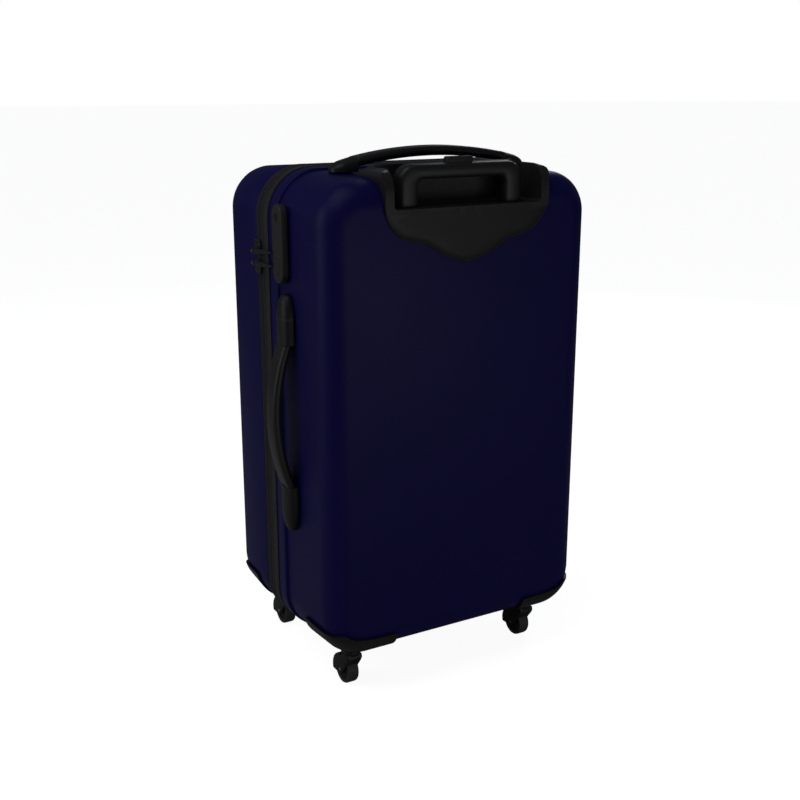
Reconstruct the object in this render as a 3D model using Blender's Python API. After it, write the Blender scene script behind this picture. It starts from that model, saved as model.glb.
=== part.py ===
"""Hard shell suitcase on four swivel casters, with a two-stage pull handle in its rear face.

All sizes below are in millimetres, in the case's own frame: X to the right as seen from behind the
case, Y from the rear face (0) to the front face, Z up from the bottom of the shell. The parent empty
CASE scales this to metres and moves the middle of the object's footprint to the world's origin.
"""

import math

import bmesh
import bpy
from mathutils import Matrix, Vector

MM = 0.001

# Driving dimensions of the two shells
HALF_WIDTH = 191.4
HEIGHT = 600.0
DEPTH = 304.0
CORNER = 52.7
EDGE = 34.0
WALL = 3.0
GAP = 0.3
LIP = 2.6
CORNER_STEPS = 8
EDGE_STEPS = 5

# Places along the depth: the step in the rear shell, the zip and its split plane
STEP_Y = 122.0
TAPE_Y = 144.5
COIL_Y = 165.2
SPLIT_Y = 173.0
FRONT_Y = 180.8
DRAFT = 4.5
STEP_RISE = 3.0
RIM = 8.0
FRONT_SWELL = 2.0

# Ground clearance and the casters
GROUND = 66.5
CASTER_X = 139.0
REAR_SWIVEL_Y = 54.0
FRONT_SWIVEL_Y = 254.0
TRAIL = 12.0
WHEEL_R = 19.7
WHEEL_WIDTH = 15.6
WHEEL_Z = WHEEL_R - GROUND

# Middle of the object's footprint, in the case's frame
CENTRE_X = -11.672
CENTRE_Y = 151.146

# Pull handle
TUBE_X = 75.0
TUBE_Y = 24.0
LEDGE_Z = 565.5
POCKET_X = 105.0
POCKET_Y = 48.0
GRIP_TOP = 616.0

# Side and top carry handles, the lock and the zip sliders
SIDE_Y = 100.0
SIDE_LOW = 151.5
SIDE_HIGH = 460.0
SIDE_CAP = 62.0
TOP_Y = 92.0
TOP_X = 140.0
TOP_CAP = 32.0
LOCK_Y = (93.0, 122.0)
LOCK_Z = (472.0, 568.0)
LOCK_THICK = 9.0
SLIDER_Z = (504.5, 489.5)
HINGE_X = 201.6

# Zip sliders: body outline as (y, z) about its middle, which lies away from the bridge
BODY_OUTLINE = ((-7.0, 8.0), (7.0, 8.0), (8.5, -1.0), (3.5, -8.0), (-3.5, -8.0), (-8.5, -1.0))
BODY_OFFSET = 5.5
PULLER_TIP_Y = 118.2
PULLER_RISE = (4.0, 2.4)

NAVY = (0.0070, 0.0056, 0.0290)
BLACK = (0.0085, 0.0085, 0.0085)
SOFT_BLACK = (0.0060, 0.0060, 0.0062)
TAPE_BLACK = (0.0100, 0.0100, 0.0100)
COIL_GREY = (0.0160, 0.0160, 0.0160)
ALUMINIUM = (0.55, 0.56, 0.58)
STEEL = (0.45, 0.45, 0.46)


def clear_scene():
    for obj in list(bpy.data.objects):
        bpy.data.objects.remove(obj, do_unlink=True)


def material(name, colour, roughness, metallic=0.0):
    made = bpy.data.materials.get(name) or bpy.data.materials.new(name)
    made.use_nodes = True
    shader = made.node_tree.nodes["Principled BSDF"]
    shader.inputs["Base Color"].default_value = (*colour, 1.0)
    shader.inputs["Roughness"].default_value = roughness
    shader.inputs["Metallic"].default_value = metallic
    return made


# ---------------------------------------------------------------- mesh tools


def loft(rings, ring_closed=False):
    """A closed body through rings of points: capped at both ends, or joined end to end."""
    bm = bmesh.new()
    rows = [[bm.verts.new(point) for point in ring] for ring in rings]
    count = len(rows[0])
    pairs = list(zip(rows, rows[1:]))
    if ring_closed:
        pairs.append((rows[-1], rows[0]))
    for low, high in pairs:
        for i in range(count):
            j = (i + 1) % count
            bm.faces.new((low[i], low[j], high[j], high[i]))
    if not ring_closed:
        bm.faces.new(rows[0])
        bm.faces.new(list(reversed(rows[-1])))
    return finish(bm)


def finish(bm):
    bmesh.ops.recalc_face_normals(bm, faces=bm.faces)
    mesh = bpy.data.meshes.new("solid")
    bm.to_mesh(mesh)
    bm.free()
    return mesh


def box(low, high, bevel=0.0, segments=2):
    bm = bmesh.new()
    bmesh.ops.create_cube(bm, size=1.0)
    size = [h - l for l, h in zip(low, high)]
    middle = [(h + l) / 2 for l, h in zip(low, high)]
    bmesh.ops.scale(bm, vec=size, verts=bm.verts)
    bmesh.ops.translate(bm, vec=middle, verts=bm.verts)
    if bevel:
        bmesh.ops.bevel(bm, geom=bm.edges, offset=bevel, segments=segments, profile=0.5, affect="EDGES")
    return finish(bm)


def prism(outline, axis, low, high, bevel=0.0, segments=2):
    """An outline in the plane across an axis, run from low to high along it."""
    place = {
        "X": lambda a, b, t: (t, a, b),
        "Y": lambda a, b, t: (a, t, b),
        "Z": lambda a, b, t: (a, b, t),
    }[axis]
    mesh = loft([[place(a, b, t) for a, b in outline] for t in (low, high)])
    if not bevel:
        return mesh
    bm = bmesh.new()
    bm.from_mesh(mesh)
    rims = [edge for edge in bm.edges if any(len(face.verts) > 4 for face in edge.link_faces)]
    bmesh.ops.bevel(bm, geom=rims, offset=bevel, segments=segments, profile=0.5, affect="EDGES")
    return finish(bm)


def turned(profile, axis, centre, steps=24):
    """A body of revolution: profile holds (radius, place along the axis) from one end to the other."""
    place = {
        "X": lambda c, s, t: (centre[0] + t, centre[1] + c, centre[2] + s),
        "Z": lambda c, s, t: (centre[0] + c, centre[1] + s, centre[2] + t),
    }[axis]
    rings = []
    for radius, along in profile:
        turns = [math.tau * i / steps for i in range(steps)]
        rings.append([place(radius * math.cos(a), radius * math.sin(a), along) for a in turns])
    return loft(rings)


def turned_ring(profile, axis, centre, steps=24):
    """A ring of revolution with a hole through it: the profile is a closed outline."""
    place = {
        "X": lambda c, s, t: (centre[0] + t, centre[1] + c, centre[2] + s),
        "Z": lambda c, s, t: (centre[0] + c, centre[1] + s, centre[2] + t),
    }[axis]
    rings = []
    for i in range(steps):
        a = math.tau * i / steps
        rings.append([place(r * math.cos(a), r * math.sin(a), along) for r, along in profile])
    return loft(rings, ring_closed=True)


def combine(mesh, other, operation):
    """The exact Boolean of two meshes, as a new mesh."""
    first = bpy.data.objects.new("first", mesh)
    second = bpy.data.objects.new("second", other)
    for obj in (first, second):
        bpy.context.scene.collection.objects.link(obj)
    step = first.modifiers.new("combine", "BOOLEAN")
    step.operation = operation
    step.object = second
    bpy.context.view_layer.update()
    graph = bpy.context.evaluated_depsgraph_get()
    result = bpy.data.meshes.new_from_object(first.evaluated_get(graph))
    bpy.data.objects.remove(first, do_unlink=True)
    bpy.data.objects.remove(second, do_unlink=True)
    return result


def cut(mesh, *cutters):
    for cutter in cutters:
        mesh = combine(mesh, cutter, "DIFFERENCE")
    return mesh


def join(mesh, *others):
    for other in others:
        mesh = combine(mesh, other, "UNION")
    return mesh


def common(mesh, other):
    return combine(mesh, other, "INTERSECT")


def mirrored(mesh):
    """The same mesh on the other side of the case's middle plane."""
    bm = bmesh.new()
    bm.from_mesh(mesh)
    bmesh.ops.transform(bm, matrix=Matrix.Scale(-1.0, 4, Vector((1.0, 0.0, 0.0))), verts=bm.verts)
    return finish(bm)


def node(name, mesh, look, case, pivot=(0.0, 0.0, 0.0), smooth=35.0):
    """One named piece under the case, with its origin at its pivot."""
    mesh.transform(Matrix.Translation(-Vector(pivot)))
    mesh.name = name
    mesh.materials.clear()
    mesh.materials.append(look)
    mesh.shade_smooth()
    mesh.set_sharp_from_angle(angle=math.radians(smooth))
    obj = bpy.data.objects.new(name, mesh)
    obj.parent = case
    obj.location = pivot
    bpy.context.scene.collection.objects.link(obj)
    return obj


# ---------------------------------------------------------------- the moulded outline


def outline_ring(y, swell):
    """The case's rounded outline at one depth, swollen past its base size."""
    half = HALF_WIDTH + swell
    low = -swell
    high = HEIGHT + swell
    radius = max(4.0, CORNER + swell)
    points = []
    corners = ((half, high, 0), (-half, high, 90), (-half, low, 180), (half, low, 270))
    for x, z, start in corners:
        cx = x - math.copysign(radius, x)
        cz = z - radius if z == high else z + radius
        for i in range(CORNER_STEPS + 1):
            a = math.radians(start + 90.0 * i / CORNER_STEPS)
            points.append((cx + radius * math.cos(a), y, cz + radius * math.sin(a)))
    return points


def rounding(face_y, inward, swell, offset=0.0):
    """Rings round the edge of a face, from the flat face to the full outline."""
    rings = []
    radius = EDGE + offset
    for i in range(EDGE_STEPS + 1):
        a = math.radians(90.0 * i / EDGE_STEPS)
        y = face_y + inward * (EDGE - radius * math.cos(a))
        rings.append(outline_ring(y, swell + offset - radius * (1.0 - math.sin(a))))
    return rings


def rear_outside(offset=0.0, last=STEP_Y):
    """The rear shell's moulded skin from the rear face to the step, as rings."""
    rings = rounding(0.0, 1.0, 0.0, offset)
    rings.append(outline_ring(last, draft_at(last) + offset))
    return rings


def draft_at(y):
    return DRAFT * (y - EDGE) / (STEP_Y - EDGE)


def front_swell(y):
    """The front shell narrows evenly from the zip to where its edge begins to turn."""
    start = DEPTH - EDGE
    return RIM - (RIM - FRONT_SWELL) * (y - SPLIT_Y) / (start - SPLIT_Y)


def rear_shell_mesh():
    outer = rear_outside()
    outer.append(outline_ring(STEP_Y + 0.8, DRAFT + STEP_RISE * 0.75))
    outer.append(outline_ring(STEP_Y + 2.2, DRAFT + STEP_RISE))
    outer.append(outline_ring(TAPE_Y - GAP, RIM))
    outer.append(outline_ring(TAPE_Y - GAP, RIM - LIP))
    outer.append(outline_ring(COIL_Y - 2.0, RIM - LIP))
    inner = rounding(0.0, 1.0, 0.0, -WALL)
    inner.append(outline_ring(STEP_Y - 1.0, DRAFT - WALL))
    inner.append(outline_ring(STEP_Y + 4.0, RIM - LIP - WALL))
    inner.append(outline_ring(COIL_Y - 2.0, RIM - LIP - WALL))
    return cup(outer, inner)


def front_shell_mesh():
    outer = rounding(DEPTH, -1.0, FRONT_SWELL)
    outer.append(outline_ring(FRONT_Y + 4.0, front_swell(FRONT_Y)))
    outer.append(outline_ring(FRONT_Y + 2.0, RIM - LIP))
    outer.append(outline_ring(SPLIT_Y + 3.0, RIM - LIP))
    inner = rounding(DEPTH, -1.0, FRONT_SWELL, -WALL)
    inner.append(outline_ring(FRONT_Y + 4.0, RIM - LIP - WALL))
    inner.append(outline_ring(SPLIT_Y + 3.0, RIM - LIP - WALL))
    return cup(outer, inner)


def cup(outer, inner):
    """A wall between an outer and an inner row of rings, open at the last ring."""
    bm = bmesh.new()
    skins = []
    for rings in (outer, inner):
        rows = [[bm.verts.new(point) for point in ring] for ring in rings]
        bm.faces.new(rows[0])
        skins.append(rows)
        for low, high in zip(rows, rows[1:]):
            bridge(bm, low, high)
    bridge(bm, skins[0][-1], skins[1][-1])
    return finish(bm)


def bridge(bm, low, high):
    for i in range(len(low)):
        j = (i + 1) % len(low)
        bm.faces.new((low[i], low[j], high[j], high[i]))


def band(y_low, y_high, swell_low, swell_high):
    """A hoop of rectangular section round the whole case."""
    rings = [
        outline_ring(y_low, swell_low),
        outline_ring(y_low, swell_high),
        outline_ring(y_high, swell_high),
        outline_ring(y_high, swell_low),
    ]
    return loft(rings, ring_closed=True)


def coil_band(y_low, y_high):
    """Half of the zip: a hoop whose outer face is slightly crowned."""
    top = RIM + 1.3
    rings = [
        outline_ring(y_low, RIM - 2.3),
        outline_ring(y_low, top - 0.8),
        outline_ring(y_low + 1.2, top),
        outline_ring(y_high - 1.2, top),
        outline_ring(y_high, top - 0.8),
        outline_ring(y_high, RIM - 2.3),
    ]
    return loft(rings, ring_closed=True)


def rear_block(offset, last=STEP_Y - 1.0):
    """The closed rear block of the case, grown by an offset, for trims that wrap over the shell."""
    return loft(rear_outside(offset, last))


def front_block(offset, last=FRONT_Y + 6.0):
    rings = rounding(DEPTH, -1.0, FRONT_SWELL, offset)
    rings.append(outline_ring(last, front_swell(last) + offset))
    return loft(rings)


# ---------------------------------------------------------------- pull handle

FLANGE_PROUD = 4.8


def flange_outline():
    """Half outline of the housing's flange, from its lower tip to its wing, and mirrored."""
    half = [
        (0.0, 499.0),
        (31.0, 506.5),
        (60.0, 523.0),
        (82.0, 528.5),
        (100.0, 537.0),
        (111.5, 550.5),
        (116.8, 567.0),
        (116.5, 584.0),
        (116.5, 640.0),
    ]
    mirrored = [(-x, z) for x, z in reversed(half[1:])]
    return half + mirrored


def collar_mesh():
    """The raised saddle over the top edge: sloping shoulders across, rounded from the rear face up."""
    across = [(114.6, 560.0), (116.8, 567.0), (116.5, 584.0), (118.5, 598.0), (119.0, 604.0)]
    across += [(115.5, 608.5), (96.0, 614.5)]
    across += [(-x, z) for x, z in reversed(across)]
    along = [(-FLANGE_PROUD, 560.0), (-FLANGE_PROUD, 585.0), (-3.5, 594.0), (0.5, 602.0), (7.0, 608.5)]
    along += [(16.0, 613.0), (26.0, 614.8), (53.0, 614.8), (58.0, 612.0), (58.0, 560.0)]
    return common(prism(across, "Y", -10.0, 60.0), prism(along, "X", -140.0, 140.0))


def tube_hole(x, y, wide, deep, low, high):
    """A rounded rectangular bar along Z, for tubes and the holes that they pass through."""
    return prism(rounded_rectangle(x, y, wide, deep, min(wide, deep) * 0.42), "Z", low, high)


def rounded_rectangle(x, y, wide, deep, radius, steps=3):
    points = []
    for sx, sy, start in ((1, 1, 0), (-1, 1, 90), (-1, -1, 180), (1, -1, 270)):
        cx = x + sx * (wide / 2 - radius)
        cy = y + sy * (deep / 2 - radius)
        for i in range(steps + 1):
            a = math.radians(start + 90.0 * i / steps)
            points.append((cx + radius * math.cos(a), cy + radius * math.sin(a)))
    return points


def housing_mesh():
    over_top = POCKET_Y + 20.0
    wall = 3.5
    patch = common(rear_block(FLANGE_PROUD, STEP_Y - 6.0), prism(flange_outline(), "Y", -20.0, over_top))
    skin = cut(patch, rear_block(GAP, STEP_Y - 2.0))
    cup_low = (-POCKET_X - wall, -FLANGE_PROUD, LEDGE_Z - 6.0)
    cup_high = (POCKET_X + wall, POCKET_Y + wall, HEIGHT + FLANGE_PROUD)
    shoulder = common(box(cup_low, cup_high), rear_block(FLANGE_PROUD, STEP_Y - 6.0))
    collar = cut(collar_mesh(), rear_block(GAP, STEP_Y - 2.0))
    body = join(skin, collar, shoulder)
    recess = box((-POCKET_X, -30.0, LEDGE_Z), (POCKET_X, POCKET_Y, HEIGHT + 40.0), 5.0)
    body = cut(body, recess)
    for side in (-1, 1):
        body = cut(body, tube_hole(side * TUBE_X, TUBE_Y, 19.6, 12.6, LEDGE_Z - 20.0, LEDGE_Z + 5.0))
    return body


def shell_opening():
    """The hole in the rear shell that the housing's pocket passes through, with its clearance."""
    wall = 3.5 + GAP
    low = (-POCKET_X - wall, -20.0, LEDGE_Z - 6.0 - GAP)
    high = (POCKET_X + wall, POCKET_Y + wall, HEIGHT + 30.0)
    return box(low, high)


def hollow_tube(x, wide, deep, wall, low, high):
    solid = tube_hole(x, TUBE_Y, wide, deep, low, high)
    bore = tube_hole(x, TUBE_Y, wide - 2 * wall, deep - 2 * wall, low - 5.0, high + 5.0)
    return cut(solid, bore)


def pull_grip_mesh():
    """A rounded loop: a cross bar and two legs round a wide rectangular opening."""
    bar = prism(grip_outline(88.0, LEDGE_Z + 0.6, GRIP_TOP, 22.0), "Y", TUBE_Y - 13.0, TUBE_Y + 13.0, 6.0, 3)
    hole = prism(grip_outline(61.0, LEDGE_Z - 30.0, 597.5, 9.0), "Y", TUBE_Y - 40.0, TUBE_Y + 40.0)
    seat = box((-19.0, TUBE_Y - 6.6, GRIP_TOP - 10.8), (19.0, TUBE_Y + 6.6, GRIP_TOP + 8.0))
    grip = cut(bar, hole, seat)
    for side in (-1, 1):
        plug = tube_hole(side * TUBE_X, TUBE_Y, 12.0, 5.0, LEDGE_Z - 26.0, LEDGE_Z + 4.0)
        grip = join(grip, plug)
    return grip


def grip_outline(half, low, high, radius):
    points = [(-half, low), (half, low)]
    for sx, start in ((1, 0), (-1, 90)):
        cx = sx * (half - radius)
        for i in range(7):
            a = math.radians(start + 15.0 * i)
            points.append((cx + radius * math.cos(a), high - radius + radius * math.sin(a)))
    return points


def pull_button_mesh():
    return box((-18.5, TUBE_Y - 6.1, GRIP_TOP - 6.4), (18.5, TUBE_Y + 6.1, GRIP_TOP + 7.0), 2.4)


def make_pull_handle(case, looks):
    node("pull_handle_housing", housing_mesh(), looks["trim"], case)
    for side, word in ((-1, "left"), (1, "right")):
        x = side * TUBE_X
        node(f"outer_tube_{word}", hollow_tube(x, 23.0, 16.0, 1.2, 34.5, LEDGE_Z - 6.5), looks["alloy"], case)
        node(f"middle_tube_{word}", hollow_tube(x, 19.0, 12.0, 1.2, 40.0, LEDGE_Z - 1.0), looks["alloy"], case)
        node(f"inner_tube_{word}", hollow_tube(x, 15.6, 8.6, 1.2, 46.0, LEDGE_Z - 0.4), looks["alloy"], case)
    base = box((-96.0, TUBE_Y - 12.0, 15.0), (96.0, TUBE_Y + 14.0, 34.0), 3.0)
    node("tube_base_bracket", base, looks["plain"], case)
    cover = cut(
        box((-112.0, 12.5, 60.0), (112.0, POCKET_Y - 6.0, LEDGE_Z - 14.0), 6.0),
        box((-109.5, 0.0, 50.0), (109.5, POCKET_Y - 8.5, LEDGE_Z), 4.0),
    )
    node("tube_cover", cover, looks["plain"], case)
    node("pull_handle_grip", pull_grip_mesh(), looks["grip"], case)
    node("pull_handle_button", pull_button_mesh(), looks["plain"], case, (0.0, TUBE_Y, GRIP_TOP))


# ---------------------------------------------------------------- carry handles


def handle_station(along, height, wide, thick, place):
    """One rounded cross-section of a bowed grip."""
    points = []
    for across, up in rounded_rectangle(0.0, 0.0, wide, thick, thick * 0.45, 2):
        points.append(place(along, across, height + up))
    return points


def bowed_grip(half, rise, place, wide_end, wide_mid, thick_end, thick_mid, steps=16):
    """A grip in one even arc, low at both ends."""
    rings = []
    for i in range(steps + 1):
        t = -1.0 + 2.0 * i / steps
        lift = 1.0 - t * t
        thick = thick_end + (thick_mid - thick_end) * lift
        wide = wide_end + (wide_mid - wide_end) * lift
        rings.append(handle_station(half * t, rise[0] + (rise[1] - rise[0]) * lift, wide, thick, place))
    return loft(rings)


def end_cap(length, wide, high, fall, place, steps=5):
    """A domed end piece: flat at its inner end, sloping down, then rounded at its outer end."""
    rings = []
    for i in range(steps + 3):
        t = max(0.0, (i - 2) / steps)
        along = length * (0.0, 0.35)[min(i, 1)] if i < 2 else length * (0.5 + 0.5 * math.sin(math.pi / 2 * t))
        shrink = 1.0 if i < 2 else math.sqrt(max(0.03, 1.0 - math.sin(math.pi / 2 * t) ** 2))
        shrink = 0.25 + 0.75 * shrink
        half = wide / 2 * shrink
        top = (high - fall * along / length) * (0.35 + 0.65 * shrink)
        ring = []
        for k in range(9):
            a = math.pi * k / 8
            ring.append(place(along, half * math.cos(a), 0.4 + (top - 0.4) * math.sin(a) ** 0.7))
        rings.append(ring)
    return loft(rings)


def side_surface(y):
    return -(HALF_WIDTH + draft_at(y))


def make_side_handle(case, looks):
    base = side_surface(SIDE_Y + 17.0) - 0.2
    low = SIDE_LOW + SIDE_CAP
    high = SIDE_HIGH - SIDE_CAP
    middle = (low + high) / 2
    half = (high - low) / 2 - GAP
    for word, joint, way in (("lower", low, -1.0), ("upper", high, 1.0)):
        cap = end_cap(
            SIDE_CAP, 34.0, 13.0, 0.0, lambda a, b, c, j=joint, w=way: (base - c, SIDE_Y + b, j + w * a)
        )
        inside = sorted((joint - way * 5.0, joint + way * 16.0))
        slot = box((base - 10.2, SIDE_Y - 12.0, inside[0]), (base - 0.9, SIDE_Y + 12.0, inside[1]))
        node(f"side_handle_cap_{word}", cut(cap, slot), looks["trim"], case)
    grip = bowed_grip(
        half,
        (6.6, 23.0),
        lambda a, b, c: (base - c, SIDE_Y + b, middle + a),
        31.0,
        27.0,
        11.0,
        12.0,
    )
    for way in (-1.0, 1.0):
        reach = sorted((middle + way * (half - 4.0), middle + way * (half + 12.0)))
        tongue = box((base - 5.4, SIDE_Y - 10.5, reach[0]), (base - 1.8, SIDE_Y + 10.5, reach[1]))
        grip = join(grip, tongue)
    node("side_handle_grip", grip, looks["grip"], case)


def make_top_handle(case, looks):
    base = HEIGHT + draft_at(TOP_Y + 16.0) + 0.2
    joint = TOP_X - TOP_CAP
    for word, way in (("left", -1.0), ("right", 1.0)):
        cap = end_cap(
            TOP_CAP, 30.0, 18.6, 8.0, lambda a, b, c, w=way: (w * (joint + a), TOP_Y + b, base + c)
        )
        inside = sorted((way * (joint - 5.0), way * (joint + 11.0)))
        slot = box((inside[0], TOP_Y - 6.8, base + 3.6), (inside[1], TOP_Y + 6.8, base + 12.6))
        node(f"top_handle_cap_{word}", cut(cap, slot), looks["trim"], case)
    grip = bowed_grip(
        joint - GAP,
        (11.8, 22.6),
        lambda a, b, c: (a, TOP_Y + b, base + c),
        28.0,
        26.0,
        12.0,
        12.5,
    )
    for way in (-1.0, 1.0):
        reach = sorted((way * (joint - 4.0), way * (joint + 8.0)))
        tongue = box((reach[0], TOP_Y - 6.0, base + 4.4), (reach[1], TOP_Y + 6.0, base + 8.2))
        grip = join(grip, tongue)
    node("top_handle_grip", grip, looks["grip"], case)


# ---------------------------------------------------------------- lock and zip


def pill(y_low, y_high, z_low, z_high, steps=6):
    radius = (y_high - y_low) / 2
    middle = (y_high + y_low) / 2
    points = []
    for centre, start in ((z_high - radius, 0), (z_low + radius, 180)):
        for i in range(steps + 1):
            a = math.radians(start + 180.0 * i / steps)
            points.append((middle + radius * math.cos(a), centre + radius * math.sin(a)))
    return points


def make_lock(case, looks):
    base = side_surface(LOCK_Y[1]) - 0.3
    face = base - LOCK_THICK
    body = prism(pill(*LOCK_Y, *LOCK_Z), "X", face, base, 1.2)
    middle = (LOCK_Y[0] + LOCK_Y[1]) / 2
    button_low = LOCK_Z[0] + 12.0
    key_z = LOCK_Z[1] - 16.0
    well = box((face - 5.0, middle - 5.4, button_low - 0.4), (face + 5.0, middle + 5.4, button_low + 18.4))
    bore = turned([(5.4, -5.0), (5.4, 7.0)], "X", (face, middle, key_z), 20)
    node("lock_body", cut(body, well, bore), looks["plain"], case)
    button = box((face - 0.5, middle - 5.0, button_low), (face + 2.8, middle + 5.0, button_low + 18.0), 0.8, 1)
    node("lock_release_button", button, looks["plain"], case)
    barrel = turned([(4.6, 0.0), (5.0, 0.4), (5.0, 6.4)], "X", (face + 0.2, middle, key_z), 20)
    keyway = box((face - 1.0, middle - 0.7, key_z - 3.0), (face + 2.6, middle + 0.7, key_z + 3.0))
    node("lock_key_barrel", cut(barrel, keyway), looks["plain"], case, (face, middle, key_z))


def make_zip(case, looks):
    node("rear_zip_tape", band(TAPE_Y, COIL_Y - GAP, RIM - 2.3, RIM + 0.5), looks["tape"], case)
    node("rear_zip_coil", coil_band(COIL_Y, SPLIT_Y - 0.15), looks["coil"], case)
    node("front_zip_coil", coil_band(SPLIT_Y + 0.15, FRONT_Y), looks["coil"], case)
    skin = -(HALF_WIDTH + RIM + 1.3)
    bridge_y = SPLIT_Y + 1.0
    pivot_x = skin - 7.6
    for word, z in zip(("upper", "lower"), SLIDER_Z):
        upper = word == "upper"
        away = 1.0 if upper else -1.0
        middle = z + away * BODY_OFFSET
        shape = [(SPLIT_Y + y, middle - away * h) for y, h in BODY_OUTLINE]
        plate = prism(shape, "X", skin - 3.0, skin - 0.4, 0.6, 1)
        arch = turned_ring([(1.5, -2.0), (3.4, -2.0), (3.4, 2.0), (1.5, 2.0)], "Z", (pivot_x, bridge_y, z), 16)
        leg = box((pivot_x + 2.6, bridge_y - 2.2, z - 2.0), (skin - 2.0, bridge_y + 2.2, z + 2.0))
        node(f"zip_slider_{word}", join(plate, arch, leg), looks["slider"], case)
        pivot = (pivot_x, bridge_y, z)
        rise = PULLER_RISE[0] if upper else PULLER_RISE[1]
        node(f"zip_puller_{word}", puller_mesh(pivot, rise), looks["slider"], case, pivot)


def puller_mesh(pivot, rise):
    """A slim pointed tab, open at its root: two cheeks and a pin either side of the slider's bridge."""
    x, y, z = pivot
    tip = z + rise
    waist = z + rise * 0.25
    flat = [
        (y + 4.2, z - 3.0),
        (y + 4.2, z + 3.0),
        (y + 1.5, z + 3.6),
        (y - 14.0, waist + 3.0),
        (PULLER_TIP_Y + 12.0, tip + 2.0),
        (PULLER_TIP_Y, tip + 0.5),
        (PULLER_TIP_Y, tip - 0.5),
        (PULLER_TIP_Y + 12.0, tip - 2.4),
        (y - 14.0, waist - 3.0),
        (y + 1.5, z - 3.6),
    ]
    blade = prism(flat, "X", x - 1.1, x + 1.1)
    clear = box((x - 9.0, y - 4.0, z - 2.3), (x + 9.0, y + 9.0, z + 2.3))
    pin = turned([(1.1, -3.4), (1.1, 3.4)], "Z", (x, y, z), 12)
    return join(cut(blade, clear), pin)


def make_hinge(case, looks):
    base = HALF_WIDTH + RIM + 1.6
    spans = {"rear": (SPLIT_Y - 13.0, SPLIT_Y - 0.15), "front": (SPLIT_Y + 0.15, SPLIT_Y + 13.0)}
    for word, (low, high) in spans.items():
        leaf = box((base, low, 110.0), (HINGE_X - 0.1, high, 490.0))
        node(f"{word}_hinge_tape", leaf, looks["tape"], case)


# ---------------------------------------------------------------- corner guards and casters


GUARD_REACH = 79.0


def guard_outline():
    """The guard's upper edge, seen along Y: low along the face, up over the corner."""
    return [
        (99.0, -30.0),
        (99.5, 18.0),
        (101.5, 23.6),
        (140.0, 25.0),
        (157.0, 27.2),
        (166.0, 30.2),
        (172.6, 36.0),
        (184.5, 32.6),
        (193.0, 35.0),
        (198.0, 39.0),
        (230.0, 40.0),
        (230.0, -30.0),
    ]


def caster_boss(x, y):
    """The round seat under the guard that carries the caster's pin."""
    return turned([(17.0, 2.5), (15.5, -9.0), (14.0, -12.6)], "Z", (x, y, 0.0), 20)


def pin_seat(front):
    """Height of the shoulder that the head of a caster's pin sits on, just under the shell."""
    return -8.6 if front else -5.0


def guard_mesh(front):
    proud = 4.2
    block = front_block if front else rear_block
    spans = (DEPTH - GUARD_REACH, DEPTH + 20.0) if front else (-20.0, GUARD_REACH)
    swivel = FRONT_SWIVEL_Y if front else REAR_SWIVEL_Y
    skin = common(block(proud), prism(guard_outline(), "Y", *spans))
    body = join(skin, caster_boss(CASTER_X, swivel))
    body = cut(body, block(GAP))
    seat = pin_seat(front)
    bore = turned([(4.3, -40.0), (4.3, seat), (7.4, seat + 0.1), (7.4, 20.0)], "Z", (CASTER_X, swivel, 0.0), 16)
    return cut(body, bore)


def fork_mesh(x, y):
    """A hooded caster fork: two cheeks joined over the wheel, cut away low at the back."""
    wheel_y = y + TRAIL
    hood = WHEEL_R + 2.6
    wide = WHEEL_WIDTH / 2 + 3.4
    outline = [(wheel_y - 1.0, WHEEL_Z - 7.6)]
    for i in range(13):
        a = math.radians(-20.0 + 112.0 * i / 12)
        outline.append((wheel_y + hood * math.cos(a), WHEEL_Z + hood * math.sin(a)))
    outline += [(y + 4.0, -17.6), (y - 10.5, -17.6), (y - 12.0, -23.0), (y - 9.5, WHEEL_Z + 18.8)]
    body = prism(outline, "X", x - wide, x + wide, 2.4, 2)
    neck = turned([(12.8, -13.1), (13.4, -16.0), (12.0, -20.0), (9.0, -22.4)], "Z", (x, y, 0.0), 20)
    body = join(body, neck)
    inner = WHEEL_WIDTH / 2 + 0.9
    cavity = turned([(WHEEL_R + 1.0, -inner), (WHEEL_R + 1.0, inner)], "X", (x, wheel_y, WHEEL_Z), 28)
    mouth = box((x - inner, y - 40.0, -90.0), (x + inner, wheel_y, WHEEL_Z + 12.0))
    axle_hole = turned([(2.6, -30.0), (2.6, 30.0)], "X", (x, wheel_y, WHEEL_Z), 12)
    pin_hole = turned([(4.3, -25.5), (4.3, 0.0)], "Z", (x, y, 0.0), 12)
    return cut(body, cavity, mouth, axle_hole, pin_hole)


def make_casters(case, looks):
    for end, y in (("rear", REAR_SWIVEL_Y), ("front", FRONT_SWIVEL_Y)):
        front = end == "front"
        right = guard_mesh(front)
        node(f"corner_guard_{end}_left", mirrored(right), looks["trim"], case)
        node(f"corner_guard_{end}_right", right, looks["trim"], case)
        for side, word in ((-1, "left"), (1, "right")):
            make_caster(case, looks, f"{end}_{word}", side * CASTER_X, y)


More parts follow.
